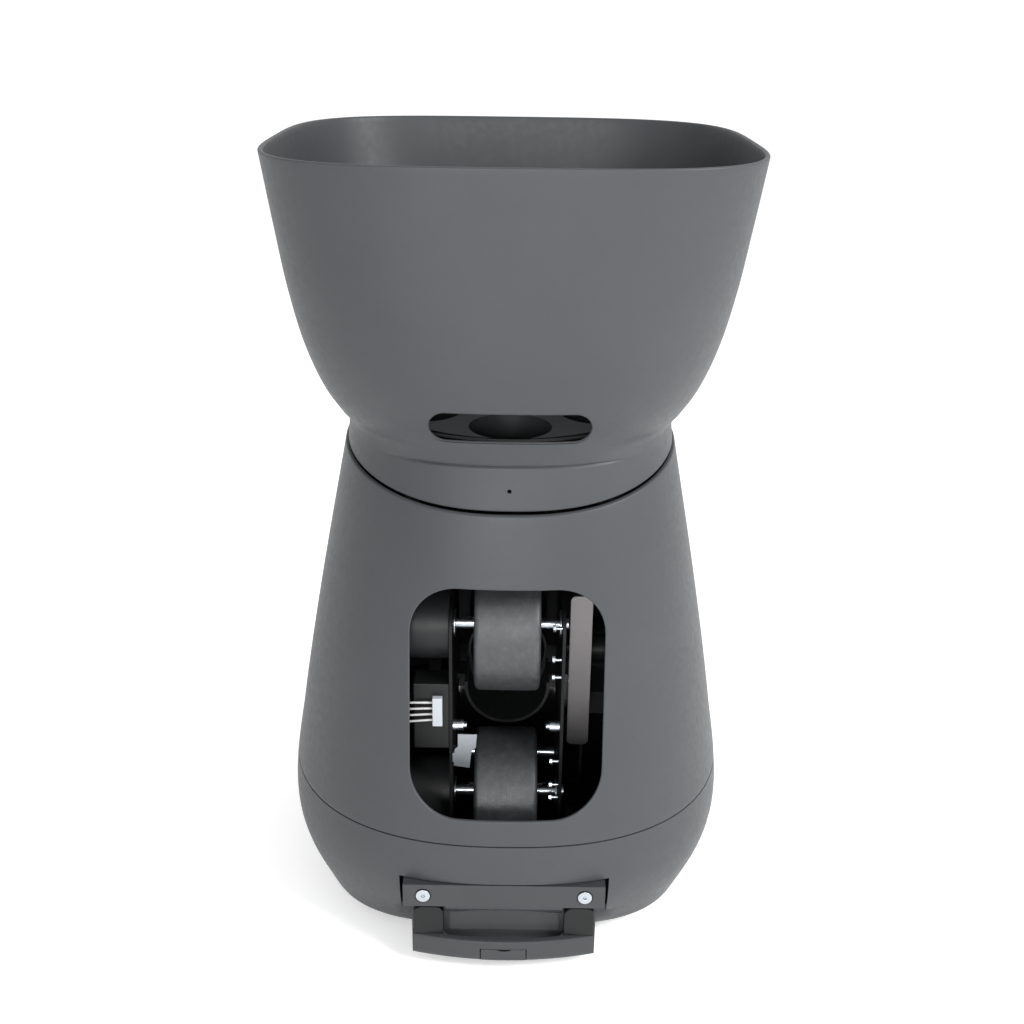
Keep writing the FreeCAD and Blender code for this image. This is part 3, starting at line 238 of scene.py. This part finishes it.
def opening_outline(opening, grow=0.0):
    """Rounded rectangle of an opening, offset outwards, with points along its straight sides too."""
    straight_steps, corner_steps = 18, 12
    half = opening["width"] / 2 + grow
    low, high = opening["low"] - grow, opening["high"] + grow
    corner = opening["corner"] + grow
    arcs = []
    for quarter, (sx, sz) in enumerate(((1, 1), (-1, 1), (-1, -1), (1, -1))):
        cx, cz = sx * (half - corner), high - corner if sz > 0 else low + corner
        angles = [math.radians(90 * (quarter + step / corner_steps)) for step in range(corner_steps + 1)]
        arcs.append([(cx + corner * math.cos(a), cz + corner * math.sin(a)) for a in angles])
    points = []
    for index, arc in enumerate(arcs):
        points += arc
        start, end = arc[-1], arcs[(index + 1) % 4][0]
        for k in range(1, straight_steps):
            share = k / straight_steps
            points.append((start[0] + (end[0] - start[0]) * share, start[1] + (end[1] - start[1]) * share))
    return points


# ---------------------------------------------------------------- superellipse surfaces
def slope_at(stations, index, column):
    """Slope of one column at a station: the mean of the spans beside it, or level at a turning point."""
    first = max(index - 1, 0)
    slopes = [(high[column] - low[column]) / (high[0] - low[0])
              for low, high in zip(stations[first:], stations[first + 1:index + 2])]
    if len(slopes) == 2 and slopes[0] * slopes[1] <= 0:
        return 0.0
    return sum(slopes) / len(slopes)


def station_at(stations, height):
    """Half width and squareness at any height, on a smooth curve through the stations."""
    index = max(k for k in range(len(stations) - 1) if stations[k][0] <= height or k == 0)
    low, high = stations[index], stations[index + 1]
    span = high[0] - low[0]
    t = (height - low[0]) / span
    values = []
    for column in (1, 2):
        start, end = slope_at(stations, index, column) * span, slope_at(stations, index + 1, column) * span
        values.append((2 * t ** 3 - 3 * t ** 2 + 1) * low[column] + (t ** 3 - 2 * t ** 2 + t) * start
                      + (3 * t ** 2 - 2 * t ** 3) * high[column] + (t ** 3 - t ** 2) * end)
    return values


def ring_point(stations, height, angle, inset):
    """Point of the form at a height and an angle round the vertical axis, in millimetres."""
    half, squareness = station_at(stations, height)
    cosine, sine = math.cos(angle), math.sin(angle)
    total = abs(cosine) ** squareness + abs(sine) ** squareness
    radius = (half - inset) / total ** (1 / squareness)
    return radius * cosine, radius * sine


def depth_at(stations, x, height, inset):
    """Distance from the axis to the form's front or rear wall, at a place across it."""
    half, squareness = station_at(stations, height)
    half -= inset
    return half * max(1 - min(abs(x) / half, 1) ** squareness, 0) ** (1 / squareness)


def saddle_rise(y):
    """Height of the saddle over its lowest level, on a wide cylinder along X."""
    radius = (SADDLE_HALF ** 2 + SADDLE_DROP ** 2) / (2 * SADDLE_DROP)
    return SADDLE_TOP - radius + math.sqrt(radius * radius - y * y) - SADDLE_LOW


def wall_profile(heights, wall, edge):
    """Section of a wall as (height, inset) pairs round the loop, with both of its edges rounded."""
    low, high = heights[0], heights[-1]
    turns = quarter_turn(4)
    inner_heights = heights[1:-1]
    loop = [(h, 0.0) for h in inner_heights]
    loop += [(high - edge * (1 - math.sin(a)), edge * (1 - math.cos(a))) for a in turns]
    loop += [(high - edge * (1 - math.cos(a)), wall - edge * (1 - math.sin(a))) for a in turns]
    loop += [(h, wall) for h in reversed(inner_heights)]
    loop += [(low + edge * (1 - math.sin(a)), wall - edge * (1 - math.cos(a))) for a in turns]
    loop += [(low + edge * (1 - math.cos(a)), edge * (1 - math.sin(a))) for a in turns]
    return loop


def wall_form(name, stations, heights, wall, edge, shift, dent=None):
    """Shell of even wall; shift moves a row by its place round the form, dent presses the outer skin in."""
    bm = bmesh.new()
    rows = []
    for height, inset in wall_profile(heights, wall, edge):
        row = []
        for step in range(ROUND_STEPS):
            angle = 2 * math.pi * (step + 0.5) / ROUND_STEPS
            x, y = ring_point(stations, height, angle, inset)
            z = height + shift(height, y)
            pressed = dent(z, x, y) if dent and inset < wall / 2 else 0
            x, y = ring_point(stations, z, angle, inset + pressed)
            row.append(bm.verts.new(Vector((x, y, z)) * MM))
        rows.append(row)
    for lower, upper in zip(rows, rows[1:] + rows[:1]):
        bridge(bm, lower, upper)
    return object_from(name, bm)


def cut_opening(shell, stations, opening, wall, way=-1):
    """Cuts an opening through the front (way -1) or rear (way 1) wall and lines it with a rounded edge."""
    edge = opening["edge"]
    nearest, farthest = CUTTER_SPAN
    combine(shell, [prism(opening_outline(opening, edge), way * nearest, way * farthest)])
    shell.data.set_sharp_from_angle(angle=math.radians(LINER_SHARP_ANGLE))
    turns = quarter_turn(5)
    profile = [(edge * (1 - math.sin(a)), edge * (1 - math.cos(a))) for a in turns]
    profile += [(edge * (1 - math.cos(a)), wall - edge * (1 - math.sin(a))) for a in turns]
    bm = bmesh.new()
    bm.from_mesh(shell.data)
    rings = []
    for grow, inset in profile:
        ring = []
        for x, z in opening_outline(opening, grow):
            y = way * depth_at(stations, x, z, inset)
            ring.append(bm.verts.new(Vector((x, y, z)) * MM))
        rings.append(ring)
    for near, far in zip(rings, rings[1:]):
        for face in bridge(bm, near, far):
            face.smooth = True
            if way > 0:
                face.normal_flip()
    bm.to_mesh(shell.data)
    bm.free()
    return shell


# ---------------------------------------------------------------- materials
class Finish:
    """A Principled material whose colour, roughness and bump come from procedural noise."""

    def __init__(self, name):
        self.material = bpy.data.materials.new(name)
        self.material.use_nodes = True
        self.nodes = self.material.node_tree.nodes
        self.links = self.material.node_tree.links
        self.shader = self.nodes["Principled BSDF"]
        self.place = self.nodes.new("ShaderNodeTexCoord").outputs["Object"]

    def noise(self, scale, detail=3.0, roughness=0.55, stretch=None):
        """Noise in object space, in features per metre; stretch scales each axis."""
        source = self.place
        if stretch:
            mapping = self.nodes.new("ShaderNodeMapping")
            mapping.inputs["Scale"].default_value = stretch
            self.links.new(source, mapping.inputs["Vector"])
            source = mapping.outputs["Vector"]
        node = self.nodes.new("ShaderNodeTexNoise")
        node.inputs["Scale"].default_value = scale
        node.inputs["Detail"].default_value = detail
        node.inputs["Roughness"].default_value = roughness
        self.links.new(source, node.inputs["Vector"])
        return node.outputs["Fac"]

    def grain(self, scale):
        """Cell pattern of a coarse grain, in cells per metre."""
        node = self.nodes.new("ShaderNodeTexVoronoi")
        node.inputs["Scale"].default_value = scale
        self.links.new(self.place, node.inputs["Vector"])
        return node.outputs["Distance"]

    def colour(self, source, stops):
        """Base colour from a pattern, on a ramp of (position, colour) stops."""
        node = self.nodes.new("ShaderNodeValToRGB")
        while len(node.color_ramp.elements) < len(stops):
            node.color_ramp.elements.new(0.5)
        for element, (position, colour) in zip(node.color_ramp.elements, stops):
            element.position = position
            element.color = (*colour, 1)
        self.links.new(source, node.inputs["Fac"])
        self.links.new(node.outputs["Color"], self.shader.inputs["Base Color"])

    def rough(self, source, low, high):
        """Roughness between two values, from a pattern."""
        node = self.nodes.new("ShaderNodeMapRange")
        node.inputs["From Min"].default_value = 0.25
        node.inputs["From Max"].default_value = 0.75
        node.inputs["To Min"].default_value = low
        node.inputs["To Max"].default_value = high
        self.links.new(source, node.inputs["Value"])
        self.links.new(node.outputs["Result"], self.shader.inputs["Roughness"])

    def bump(self, source, height, strength):
        """Bump of a height in metres; calls stack on each other."""
        node = self.nodes.new("ShaderNodeBump")
        node.inputs["Strength"].default_value = strength
        node.inputs["Distance"].default_value = height
        self.links.new(source, node.inputs["Height"])
        normal = self.shader.inputs["Normal"]
        if normal.links:
            self.links.new(normal.links[0].from_socket, node.inputs["Normal"])
        self.links.new(node.outputs["Normal"], normal)

    def set(self, **values):
        """Plain values on the shader's own sockets; returns the finished material."""
        for name, value in values.items():
            self.shader.inputs[name.replace("_", " ")].default_value = value
        return self.material


def grey(value, tint=(1, 1, 1)):
    """Grey of a linear value with a slight tint."""
    return tuple(value * part for part in tint)


COOL = (0.93, 1.0, 1.08)
WARM = (1.03, 1.0, 0.97)
RED = (2.6, 0.25, 0.2)


def moulded(name, value, rough=(0.5, 0.62), texture=900, depth=0.00004, specular=0.45, tint=COOL):
    """Textured moulded plastic: faint colour drift, a fine grain and an uneven sheen."""
    finish = Finish(name)
    finish.colour(finish.noise(7, 4), [(0.3, grey(value * 0.94, tint)), (0.7, grey(value * 1.06, tint))])
    finish.rough(finish.noise(160, 3), *rough)
    finish.bump(finish.noise(texture, 2, 0.6), depth, 0.55)
    finish.bump(finish.noise(26, 2), 0.0002, 0.08)
    return finish.set(Specular_IOR_Level=specular)


def painted_sheet(name, value, rough, specular):
    """Powder coated sheet with an orange-peel surface."""
    finish = Finish(name)
    finish.colour(finish.noise(14, 3), [(0.3, grey(value * 0.9, COOL)), (0.7, grey(value * 1.1, COOL))])
    finish.rough(finish.noise(90, 3), *rough)
    finish.bump(finish.noise(1200, 2), 0.00003, 0.5)
    return finish.set(Specular_IOR_Level=specular)


def bright_metal(name, value, rough, stretch=(1, 12, 12)):
    """Turned or drawn metal with fine lines and slight stains."""
    finish = Finish(name)
    finish.colour(finish.noise(60, 4), [(0.3, grey(value * 0.85, COOL)), (0.7, grey(value, COOL))])
    finish.rough(finish.noise(500, 3, stretch=stretch), *rough)
    finish.bump(finish.noise(900, 2, stretch=stretch), 0.00001, 0.5)
    return finish.set(Metallic=1.0)


def rubber(name, value, rough=(0.6, 0.78), texture=700, depth=0.00008):
    """Matte rubber with a dusty, uneven face."""
    finish = Finish(name)
    finish.colour(finish.noise(40, 5),
                  [(0.28, grey(value * 0.8)), (0.5, grey(value)), (0.75, grey(value * 1.35))])
    finish.rough(finish.noise(120, 4), *rough)
    finish.bump(finish.noise(texture, 3, 0.7), depth, 0.7)
    return finish.set(Specular_IOR_Level=0.35)


def guard_paint_with_painted_shade():
    """Warm pale paint of the guard with a faint random drift, and painted shade that darkens it towards its
    lower end.
    """
    finish = Finish("pale_sheet")
    height = finish.nodes.new("ShaderNodeSeparateXYZ")
    finish.links.new(finish.place, height.inputs["Vector"])
    shade_and_drift_level = finish.nodes.new("ShaderNodeMath")
    shade_and_drift_level.operation = "MULTIPLY_ADD"
    shade_and_drift_level.inputs[1].default_value = 0.015
    finish.links.new(finish.noise(60, 4), shade_and_drift_level.inputs[0])
    finish.links.new(height.outputs["Z"], shade_and_drift_level.inputs[2])
    # Painted shade: below about 0.2 m up the colour falls to near black, standing in for shadow low inside
    # the machine; the noise adds only a faint random drift.
    finish.colour(shade_and_drift_level.outputs["Value"], [(0.175, (0.02, 0.02, 0.021)), (0.225, (0.2, 0.19, 0.19)),
                                           (0.3, (0.31, 0.29, 0.295))])
    finish.rough(finish.noise(90, 3), 0.42, 0.56)
    finish.bump(finish.noise(1200, 2), 0.00003, 0.5)
    return finish.material


def launch_tyre():
    """Grained polyurethane of the launch wheels, scuffed and worn unevenly round the tread."""
    finish = Finish("launch_tyre")
    scuffs = finish.noise(110, 6, 0.75, stretch=(1.3, 1, 1))
    finish.colour(scuffs, [(0.3, grey(0.02, COOL)), (0.52, grey(0.03, COOL)), (0.74, grey(0.05, COOL))])
    finish.rough(finish.noise(80, 5, 0.7), 0.34, 0.52)
    finish.bump(finish.noise(650, 4, 0.75), 0.0003, 0.9)
    finish.bump(finish.grain(1100), 0.00008, 0.5)
    return finish.set(Specular_IOR_Level=0.6)


def display_glass():
    """Dark display window with a clear coat."""
    finish = Finish("display_glass")
    finish.colour(finish.noise(30, 2), [(0.3, (0.004, 0.006, 0.008)), (0.7, (0.012, 0.016, 0.02))])
    finish.rough(finish.noise(60, 3), 0.08, 0.16)
    finish.bump(finish.noise(300, 2), 0.00001, 0.2)
    return finish.set(Coat_Weight=0.6, Coat_Roughness=0.05)


MATERIALS = {
    "shell": moulded("shell_moulding", 0.044, (0.42, 0.54), texture=850, depth=0.00006, specular=0.32),
    "inner_plastic": moulded("inner_moulding", 0.013, (0.4, 0.55), texture=500),
    "feed_plastic": moulded("feed_moulding", 0.03, (0.38, 0.55), texture=420, depth=0.00008),
    "black_plastic": moulded("black_moulding", 0.006, (0.36, 0.48), texture=700, depth=0.00001,
                             specular=0.28),
    "handle_plastic": moulded("handle_moulding", 0.034, (0.34, 0.46), texture=1100, depth=0.00005,
                              specular=0.36),
    "hub_plastic": moulded("hub_moulding", 0.04, (0.4, 0.55), texture=600),
    "gear_plastic": moulded("gear_moulding", 0.5, (0.35, 0.5), texture=600, tint=WARM),
    "white_plastic": moulded("connector_moulding", 0.42, (0.3, 0.42)),
    "wire_white": rubber("wire_insulation", 0.45, (0.35, 0.5), texture=900, depth=0.00002),
    "motor_can": painted_sheet("motor_can", 0.012, (0.42, 0.55), specular=0.3),
    "black_sheet": painted_sheet("black_sheet", 0.007, (0.45, 0.6), specular=0.2),
    "pale_sheet": guard_paint_with_painted_shade(),
    "zinc_sheet": bright_metal("zinc_sheet", 0.34, (0.34, 0.5), stretch=(1, 1, 6)),
    "steel": bright_metal("bright_steel", 0.5, (0.22, 0.4)),
    "gear_steel": bright_metal("gear_steel", 0.6, (0.28, 0.42), stretch=(1, 1, 1)),
    "tube_metal": bright_metal("tube_metal", 0.6, (0.26, 0.4), stretch=(12, 1, 12)),
    "rubber": rubber("foot_rubber", 0.02),
    "wheel_rubber": launch_tyre(),
    "display": display_glass(),
    "button_rubber": rubber("button_rubber", 0.16, (0.5, 0.66), texture=1000, depth=0.00003),
    "rocker_plastic": moulded("rocker_moulding", 0.12, (0.2, 0.32), tint=RED),
}


def paint(thing, slot):
    """Gives a piece or a CAD node the one material of its slot."""
    thing.data.materials.clear()
    thing.data.materials.append(MATERIALS[slot])


def dress(thing, slot, body, node):
    """Gives a piece the material of its slot and its body, and hides the CAD node it stands for."""
    paint(thing, slot)
    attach(thing, body)
    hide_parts(node)


for node, thing in NODES.items():
    paint(thing, SLOT_OF[node])


# ---------------------------------------------------------------- body cover
def cover_shift(height, y):
    """Bends the cover's top rows onto the saddle."""
    start, end = COVER_BEND
    return unit((height - start) / (end - start)) * saddle_rise(y)


cover = wall_form("body_cover", BODY_STATIONS, row_heights(PARTING_HEIGHT + PARTING_GAP / 2, COVER_ROWS),
                  SHELL_WALL, SHELL_EDGE, cover_shift)
cut_opening(cover, BODY_STATIONS, WINDOW, SHELL_WALL)
cut_opening(cover, BODY_STATIONS, PANEL_OPENING, SHELL_WALL, way=1)
dress(cover, "shell", "base", "body_shell")


# ---------------------------------------------------------------- hopper
def hopper_shift(height, y):
    """Bends the hopper's lowest rows onto the saddle, a seam gap above the cover."""
    start, end = HOPPER_BEND
    return unit((end - height) / (end - start)) * saddle_rise(y)


def crease(height, x, y):
    """Sharp fold across the front, where the bowl's underside meets the skirt; it fades out sideways."""
    low, high = CREASE["height"], CREASE["top"]
    if y > 0 or not low - CREASE["below"] < height < high:
        return 0
    fade = unit((CREASE["half_span"] - abs(x)) / CREASE["fade"])
    fade = fade * fade * (3 - 2 * fade)
    groove = CREASE["depth"] * math.exp(-((height - low) / CREASE["width"]) ** 2)
    start, end = (station_at(HOPPER_STATIONS, level)[0] for level in (low, high))
    straight = start + (end - start) * (height - low) / (high - low)
    filled = max(straight - station_at(HOPPER_STATIONS, height)[0], 0) if height > low else 0
    return fade * (groove - filled)


hopper = wall_form("hopper_moulding", HOPPER_STATIONS, row_heights(SADDLE_LOW + SEAM_GAP, HOPPER_ROWS),
                   BOWL_WALL, BOWL_EDGE, hopper_shift, dent=crease)
cut_opening(hopper, HOPPER_STATIONS, SLOT, BOWL_WALL)
cut_opening(hopper, HOPPER_STATIONS, PINHOLE, BOWL_WALL)
dress(hopper, "shell", "hopper", "hopper_bowl")


# ---------------------------------------------------------------- wheels
def turned(name, profile, centre):
    """Ring turned about an axis along X; the profile is a closed loop of (x, radius) in millimetres."""
    steps = 144
    bm = bmesh.new()
    rows = []
    for x, radius in profile:
        row = []
        for step in range(steps):
            angle = 2 * math.pi * step / steps
            spot = centre + Vector((x, radius * math.cos(angle), radius * math.sin(angle)))
            row.append(bm.verts.new(spot * MM))
        rows.append(row)
    for near, far in zip(rows, rows[1:] + rows[:1]):
        bridge(bm, near, far)
    return object_from(name, bm)


def mirrored(tread, right):
    """Closed tyre section: the tread from left to right, its right side, and the same side on the left."""
    return tread + right + [(-x, radius) for x, radius in reversed(right)]


def launch_profile():
    """Section of a launch tyre: a slightly crowned tread, round shoulders and a stepped side wall."""
    half, outer, bore = 30.0, 62.0, 32.0
    crown, shoulder, shoulder_drop = 0.5, 4.5, 0.4
    tread = [(x, outer - crown * (x / half) ** 2) for x in spread(-half + shoulder, half - shoulder, 3)]
    corner = [(half - shoulder + shoulder * math.sin(a), outer - shoulder_drop - shoulder * (1 - math.cos(a)))
              for a in quarter_turn(6)[1:]]
    side = [(half, 47.0), (half - 0.4, 46.4), (half - 1.6, 45.8), (half - 1.6, 36.5), (half - 1.2, 35.6),
            (half - 0.2, 35.0), (half - 0.2, bore)]
    return mirrored(tread, corner + side)


def roller_profile():
    """Section of a transport tyre: a tread with shallow grooves, big shoulders and a recessed side."""
    half, outer, bore = 12.0, 42.0, 32.0
    tread_half, crown = 8.4, 0.6
    pitch, groove_half, groove_depth, groove_floor = 3.4, 0.55, 0.9, 0.8
    tread = []
    for x in spread(-tread_half, tread_half, 0.35):
        groove = max(0.0, 1 - abs((x % pitch) - pitch / 2) / groove_half)
        tread.append((x, outer - crown * (x / half) ** 2 - groove_depth * min(groove, groove_floor)))
    shoulder = [(tread_half + 3.6 * math.sin(a), 37.7 + 3.9 * math.cos(a)) for a in quarter_turn(6)[1:]]
    side = [(half, 35.5), (half - 0.7, 34.6), (half - 0.7, bore)]
    return mirrored(tread, shoulder + side)


for label in ("upper", "lower"):
    low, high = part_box(label + "_wheel_tyre")
    tyre = turned(label + "_launch_tyre", launch_profile(), (low + high) / 2 / MM)
    dress(tyre, "wheel_rubber", label + "_wheel", label + "_wheel_tyre")
for label in ("left", "right"):
    low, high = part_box(label + "_roller_tyre")
    tyre = turned(label + "_roller_tread", roller_profile(), (low + high) / 2 / MM)
    dress(tyre, "rubber", label + "_roller", label + "_roller_tyre")


# ---------------------------------------------------------------- CAD parts with softened edges
def copied(node):
    """Copy of a CAD node's mesh, with its seams welded and its imported normals dropped."""
    mesh = NODES[node].data.copy()
    if mesh.attributes.get("custom_normal"):
        mesh.attributes.remove(mesh.attributes["custom_normal"])
    copy = new_object(node + "_fine", mesh)
    copy.modifiers.new("weld", "WELD").merge_threshold = IMPORT_WELD * MM
    return apply_modifiers(copy)


def housing():
    """Handle housing with a ramp under its upper plate and an arched scoop for the fingers."""
    piece = copied("handle_bezel")
    ramp = prism([(-215.5, 66.5), (-215.5, 63.5), (-203, 50), (-202, 50), (-202, 66.5)],
                 -RAMP_HALF, RAMP_HALF, "x")
    filler = prism([(-203, 30), (-203, 31), (-190.9, 66), (-190.9, 30)], -FILLER_HALF, FILLER_HALF, "x")
    combine(piece, [ramp, filler], "UNION")
    scoop = prism([(-240, 24), (-203, 30), (-192, 61), (-192, 70), (-240, 70)], -SCOOP_HALF, SCOOP_HALF, "x")
    half, low, spring, rise = SCOOP["half"], SCOOP["low"], SCOOP["spring"], SCOOP["rise"]
    arch = [(half, low), (half, spring)]
    arch += [(half * math.cos(a), spring + rise * math.sin(a))
             for a in (math.pi * k / 36 for k in range(1, 36))]
    arch += [(-half, spring), (-half, low)]
    combine(scoop, [prism(arch, AHEAD_OF_GRIP, BEHIND_SCOOP)], "INTERSECT")
    return combine(piece, [scoop])


def bow_front(x):
    """Front face of the grip, bowed in plan."""
    radius = (GRIP["half"] ** 2 + GRIP["bow"] ** 2) / (2 * GRIP["bow"])
    return GRIP["front"] + radius - math.sqrt(radius ** 2 - x ** 2)


def grip_bar():
    """Bowed bar with a rounded front, a back that falls away between the arms, and the button's pocket."""
    low, high = GRIP["low"], GRIP["high"]
    bm = bmesh.new()
    rows = []
    for x in spread(-GRIP["half"], GRIP["half"], 2.5):
        share = unit((abs(x) - GRIP["arms_from"]) / GRIP["arms_blend"])
        front = bow_front(x)
        back = front + GRIP["thickness"] + share * (GRIP["end_back"] - front - GRIP["thickness"])
        slope_top = front + 6 + share * (back - front - 7)
        slope_low = low + 9 + share * (high - low - 10.5)
        section = [(front + 4, low), (front + 1.2, low + 0.7), (front + 0.2, low + 2.6), (front, low + 6),
                   (front, high - 6), (front + 0.3, high - 3), (front + 1.2, high - 1),
                   (front + 3, high - 0.1), (slope_top, high), (slope_top + 0.8, high - 0.5),
                   (back, slope_low), (back, low + 1.5), (back - 1.5, low)]
        rows.append([bm.verts.new(Vector((x, y, z)) * MM) for y, z in section])
    for near, far in zip(rows, rows[1:]):
        bridge(bm, near, far)
    bm.faces.new(rows[0])
    bm.faces.new(list(reversed(rows[-1])))
    piece = object_from("handle_grip_fine", bm)
    half, floor_z, roof_z = POCKET["half"], low + POCKET["low"], low + POCKET["high"]
    pocket = prism([(-half, floor_z), (half, floor_z), (half, roof_z), (-half, roof_z)],
                   AHEAD_OF_GRIP, GRIP["front"] + POCKET["depth"])
    return combine(piece, [pocket])


SHAPED = {"handle_bezel": housing, "handle_grip": grip_bar}
for node, width in SOFTENED.items():
    piece = SHAPED[node]() if node in SHAPED else copied(node)
    soften(piece, width * MM)
    dress(piece, SLOT_OF[node], BODY_OF[node], node)


# ---------------------------------------------------------------- floor, light and camera
def floor():
    """Pale floor far wider than the machine."""
    bm = bmesh.new()
    signs = ((-1, -1), (1, -1), (1, 1), (-1, 1))
    bm.faces.new([bm.verts.new((sx * FLOOR_REACH, sy * FLOOR_REACH, 0)) for sx, sy in signs])
    thing = object_from("floor", bm)
    finish = Finish("floor_paint")
    finish.colour(finish.noise(2, 2), [(0.3, grey(0.93)), (0.7, grey(0.95))])
    finish.rough(finish.noise(3, 2), 0.75, 0.85)
    thing.data.materials.append(finish.set(Emission_Color=(1, 1, 1, 1), Emission_Strength=0.3))


def studio():
    """White surroundings that are dimmer high up in front, on the left."""
    world = bpy.data.worlds.new("studio")
    world.use_nodes = True
    nodes, links = world.node_tree.nodes, world.node_tree.links
    facing = nodes.new("ShaderNodeVectorMath")
    facing.operation = "DOT_PRODUCT"
    facing.inputs[1].default_value = Vector(BRIGHTEST_WAY).normalized()
    links.new(nodes.new("ShaderNodeTexCoord").outputs["Generated"], facing.inputs[0])
    level = nodes.new("ShaderNodeMapRange")
    for name, value in SURROUND_LEVELS.items():
        level.inputs[name].default_value = value
    links.new(facing.outputs["Value"], level.inputs["Value"])
    links.new(level.outputs["Result"], nodes["Background"].inputs["Strength"])
    nodes["Background"].inputs["Color"].default_value = (1, 1, 1, 1)
    bpy.context.scene.world = world


def area_light(name, place, aim, size, power):
    """Soft rectangular light that faces a point."""
    lamp = bpy.data.lights.new(name, "AREA")
    lamp.shape = "RECTANGLE"
    lamp.size, lamp.size_y = size
    lamp.energy = power
    thing = bpy.data.objects.new(name, lamp)
    thing.location = place
    thing.rotation_euler = (Vector(aim) - Vector(place)).to_track_quat("-Z", "Y").to_euler()
    bpy.context.scene.collection.objects.link(thing)


floor()
studio()
bpy.context.scene.view_settings.view_transform = "Standard"
area_light("key", place=(1.9, -1.3, 1.9), aim=(0, 0, 0.25), size=(1.1, 1.1), power=78)
area_light("fill", place=(-2.4, -0.9, 1.4), aim=(0, 0, 0.4), size=(1.2, 1.8), power=7)
area_light("front", place=(-0.1, -2.5, 1.0), aim=(0, -0.1, 0.22), size=(0.45, 0.45), power=30)

camera = bpy.data.objects.new("camera", bpy.data.cameras.new("camera"))
camera.data.sensor_width = CAMERA_SENSOR
camera.data.lens = CAMERA_LENS
camera.matrix_world = (Matrix.Translation(CAMERA_PLACE) @ Matrix.Rotation(math.radians(CAMERA_TILT), 4, "X")
                       @ Matrix.Rotation(math.radians(CAMERA_ROLL), 4, "Z"))
bpy.context.scene.collection.objects.link(camera)
bpy.context.scene.camera = camera
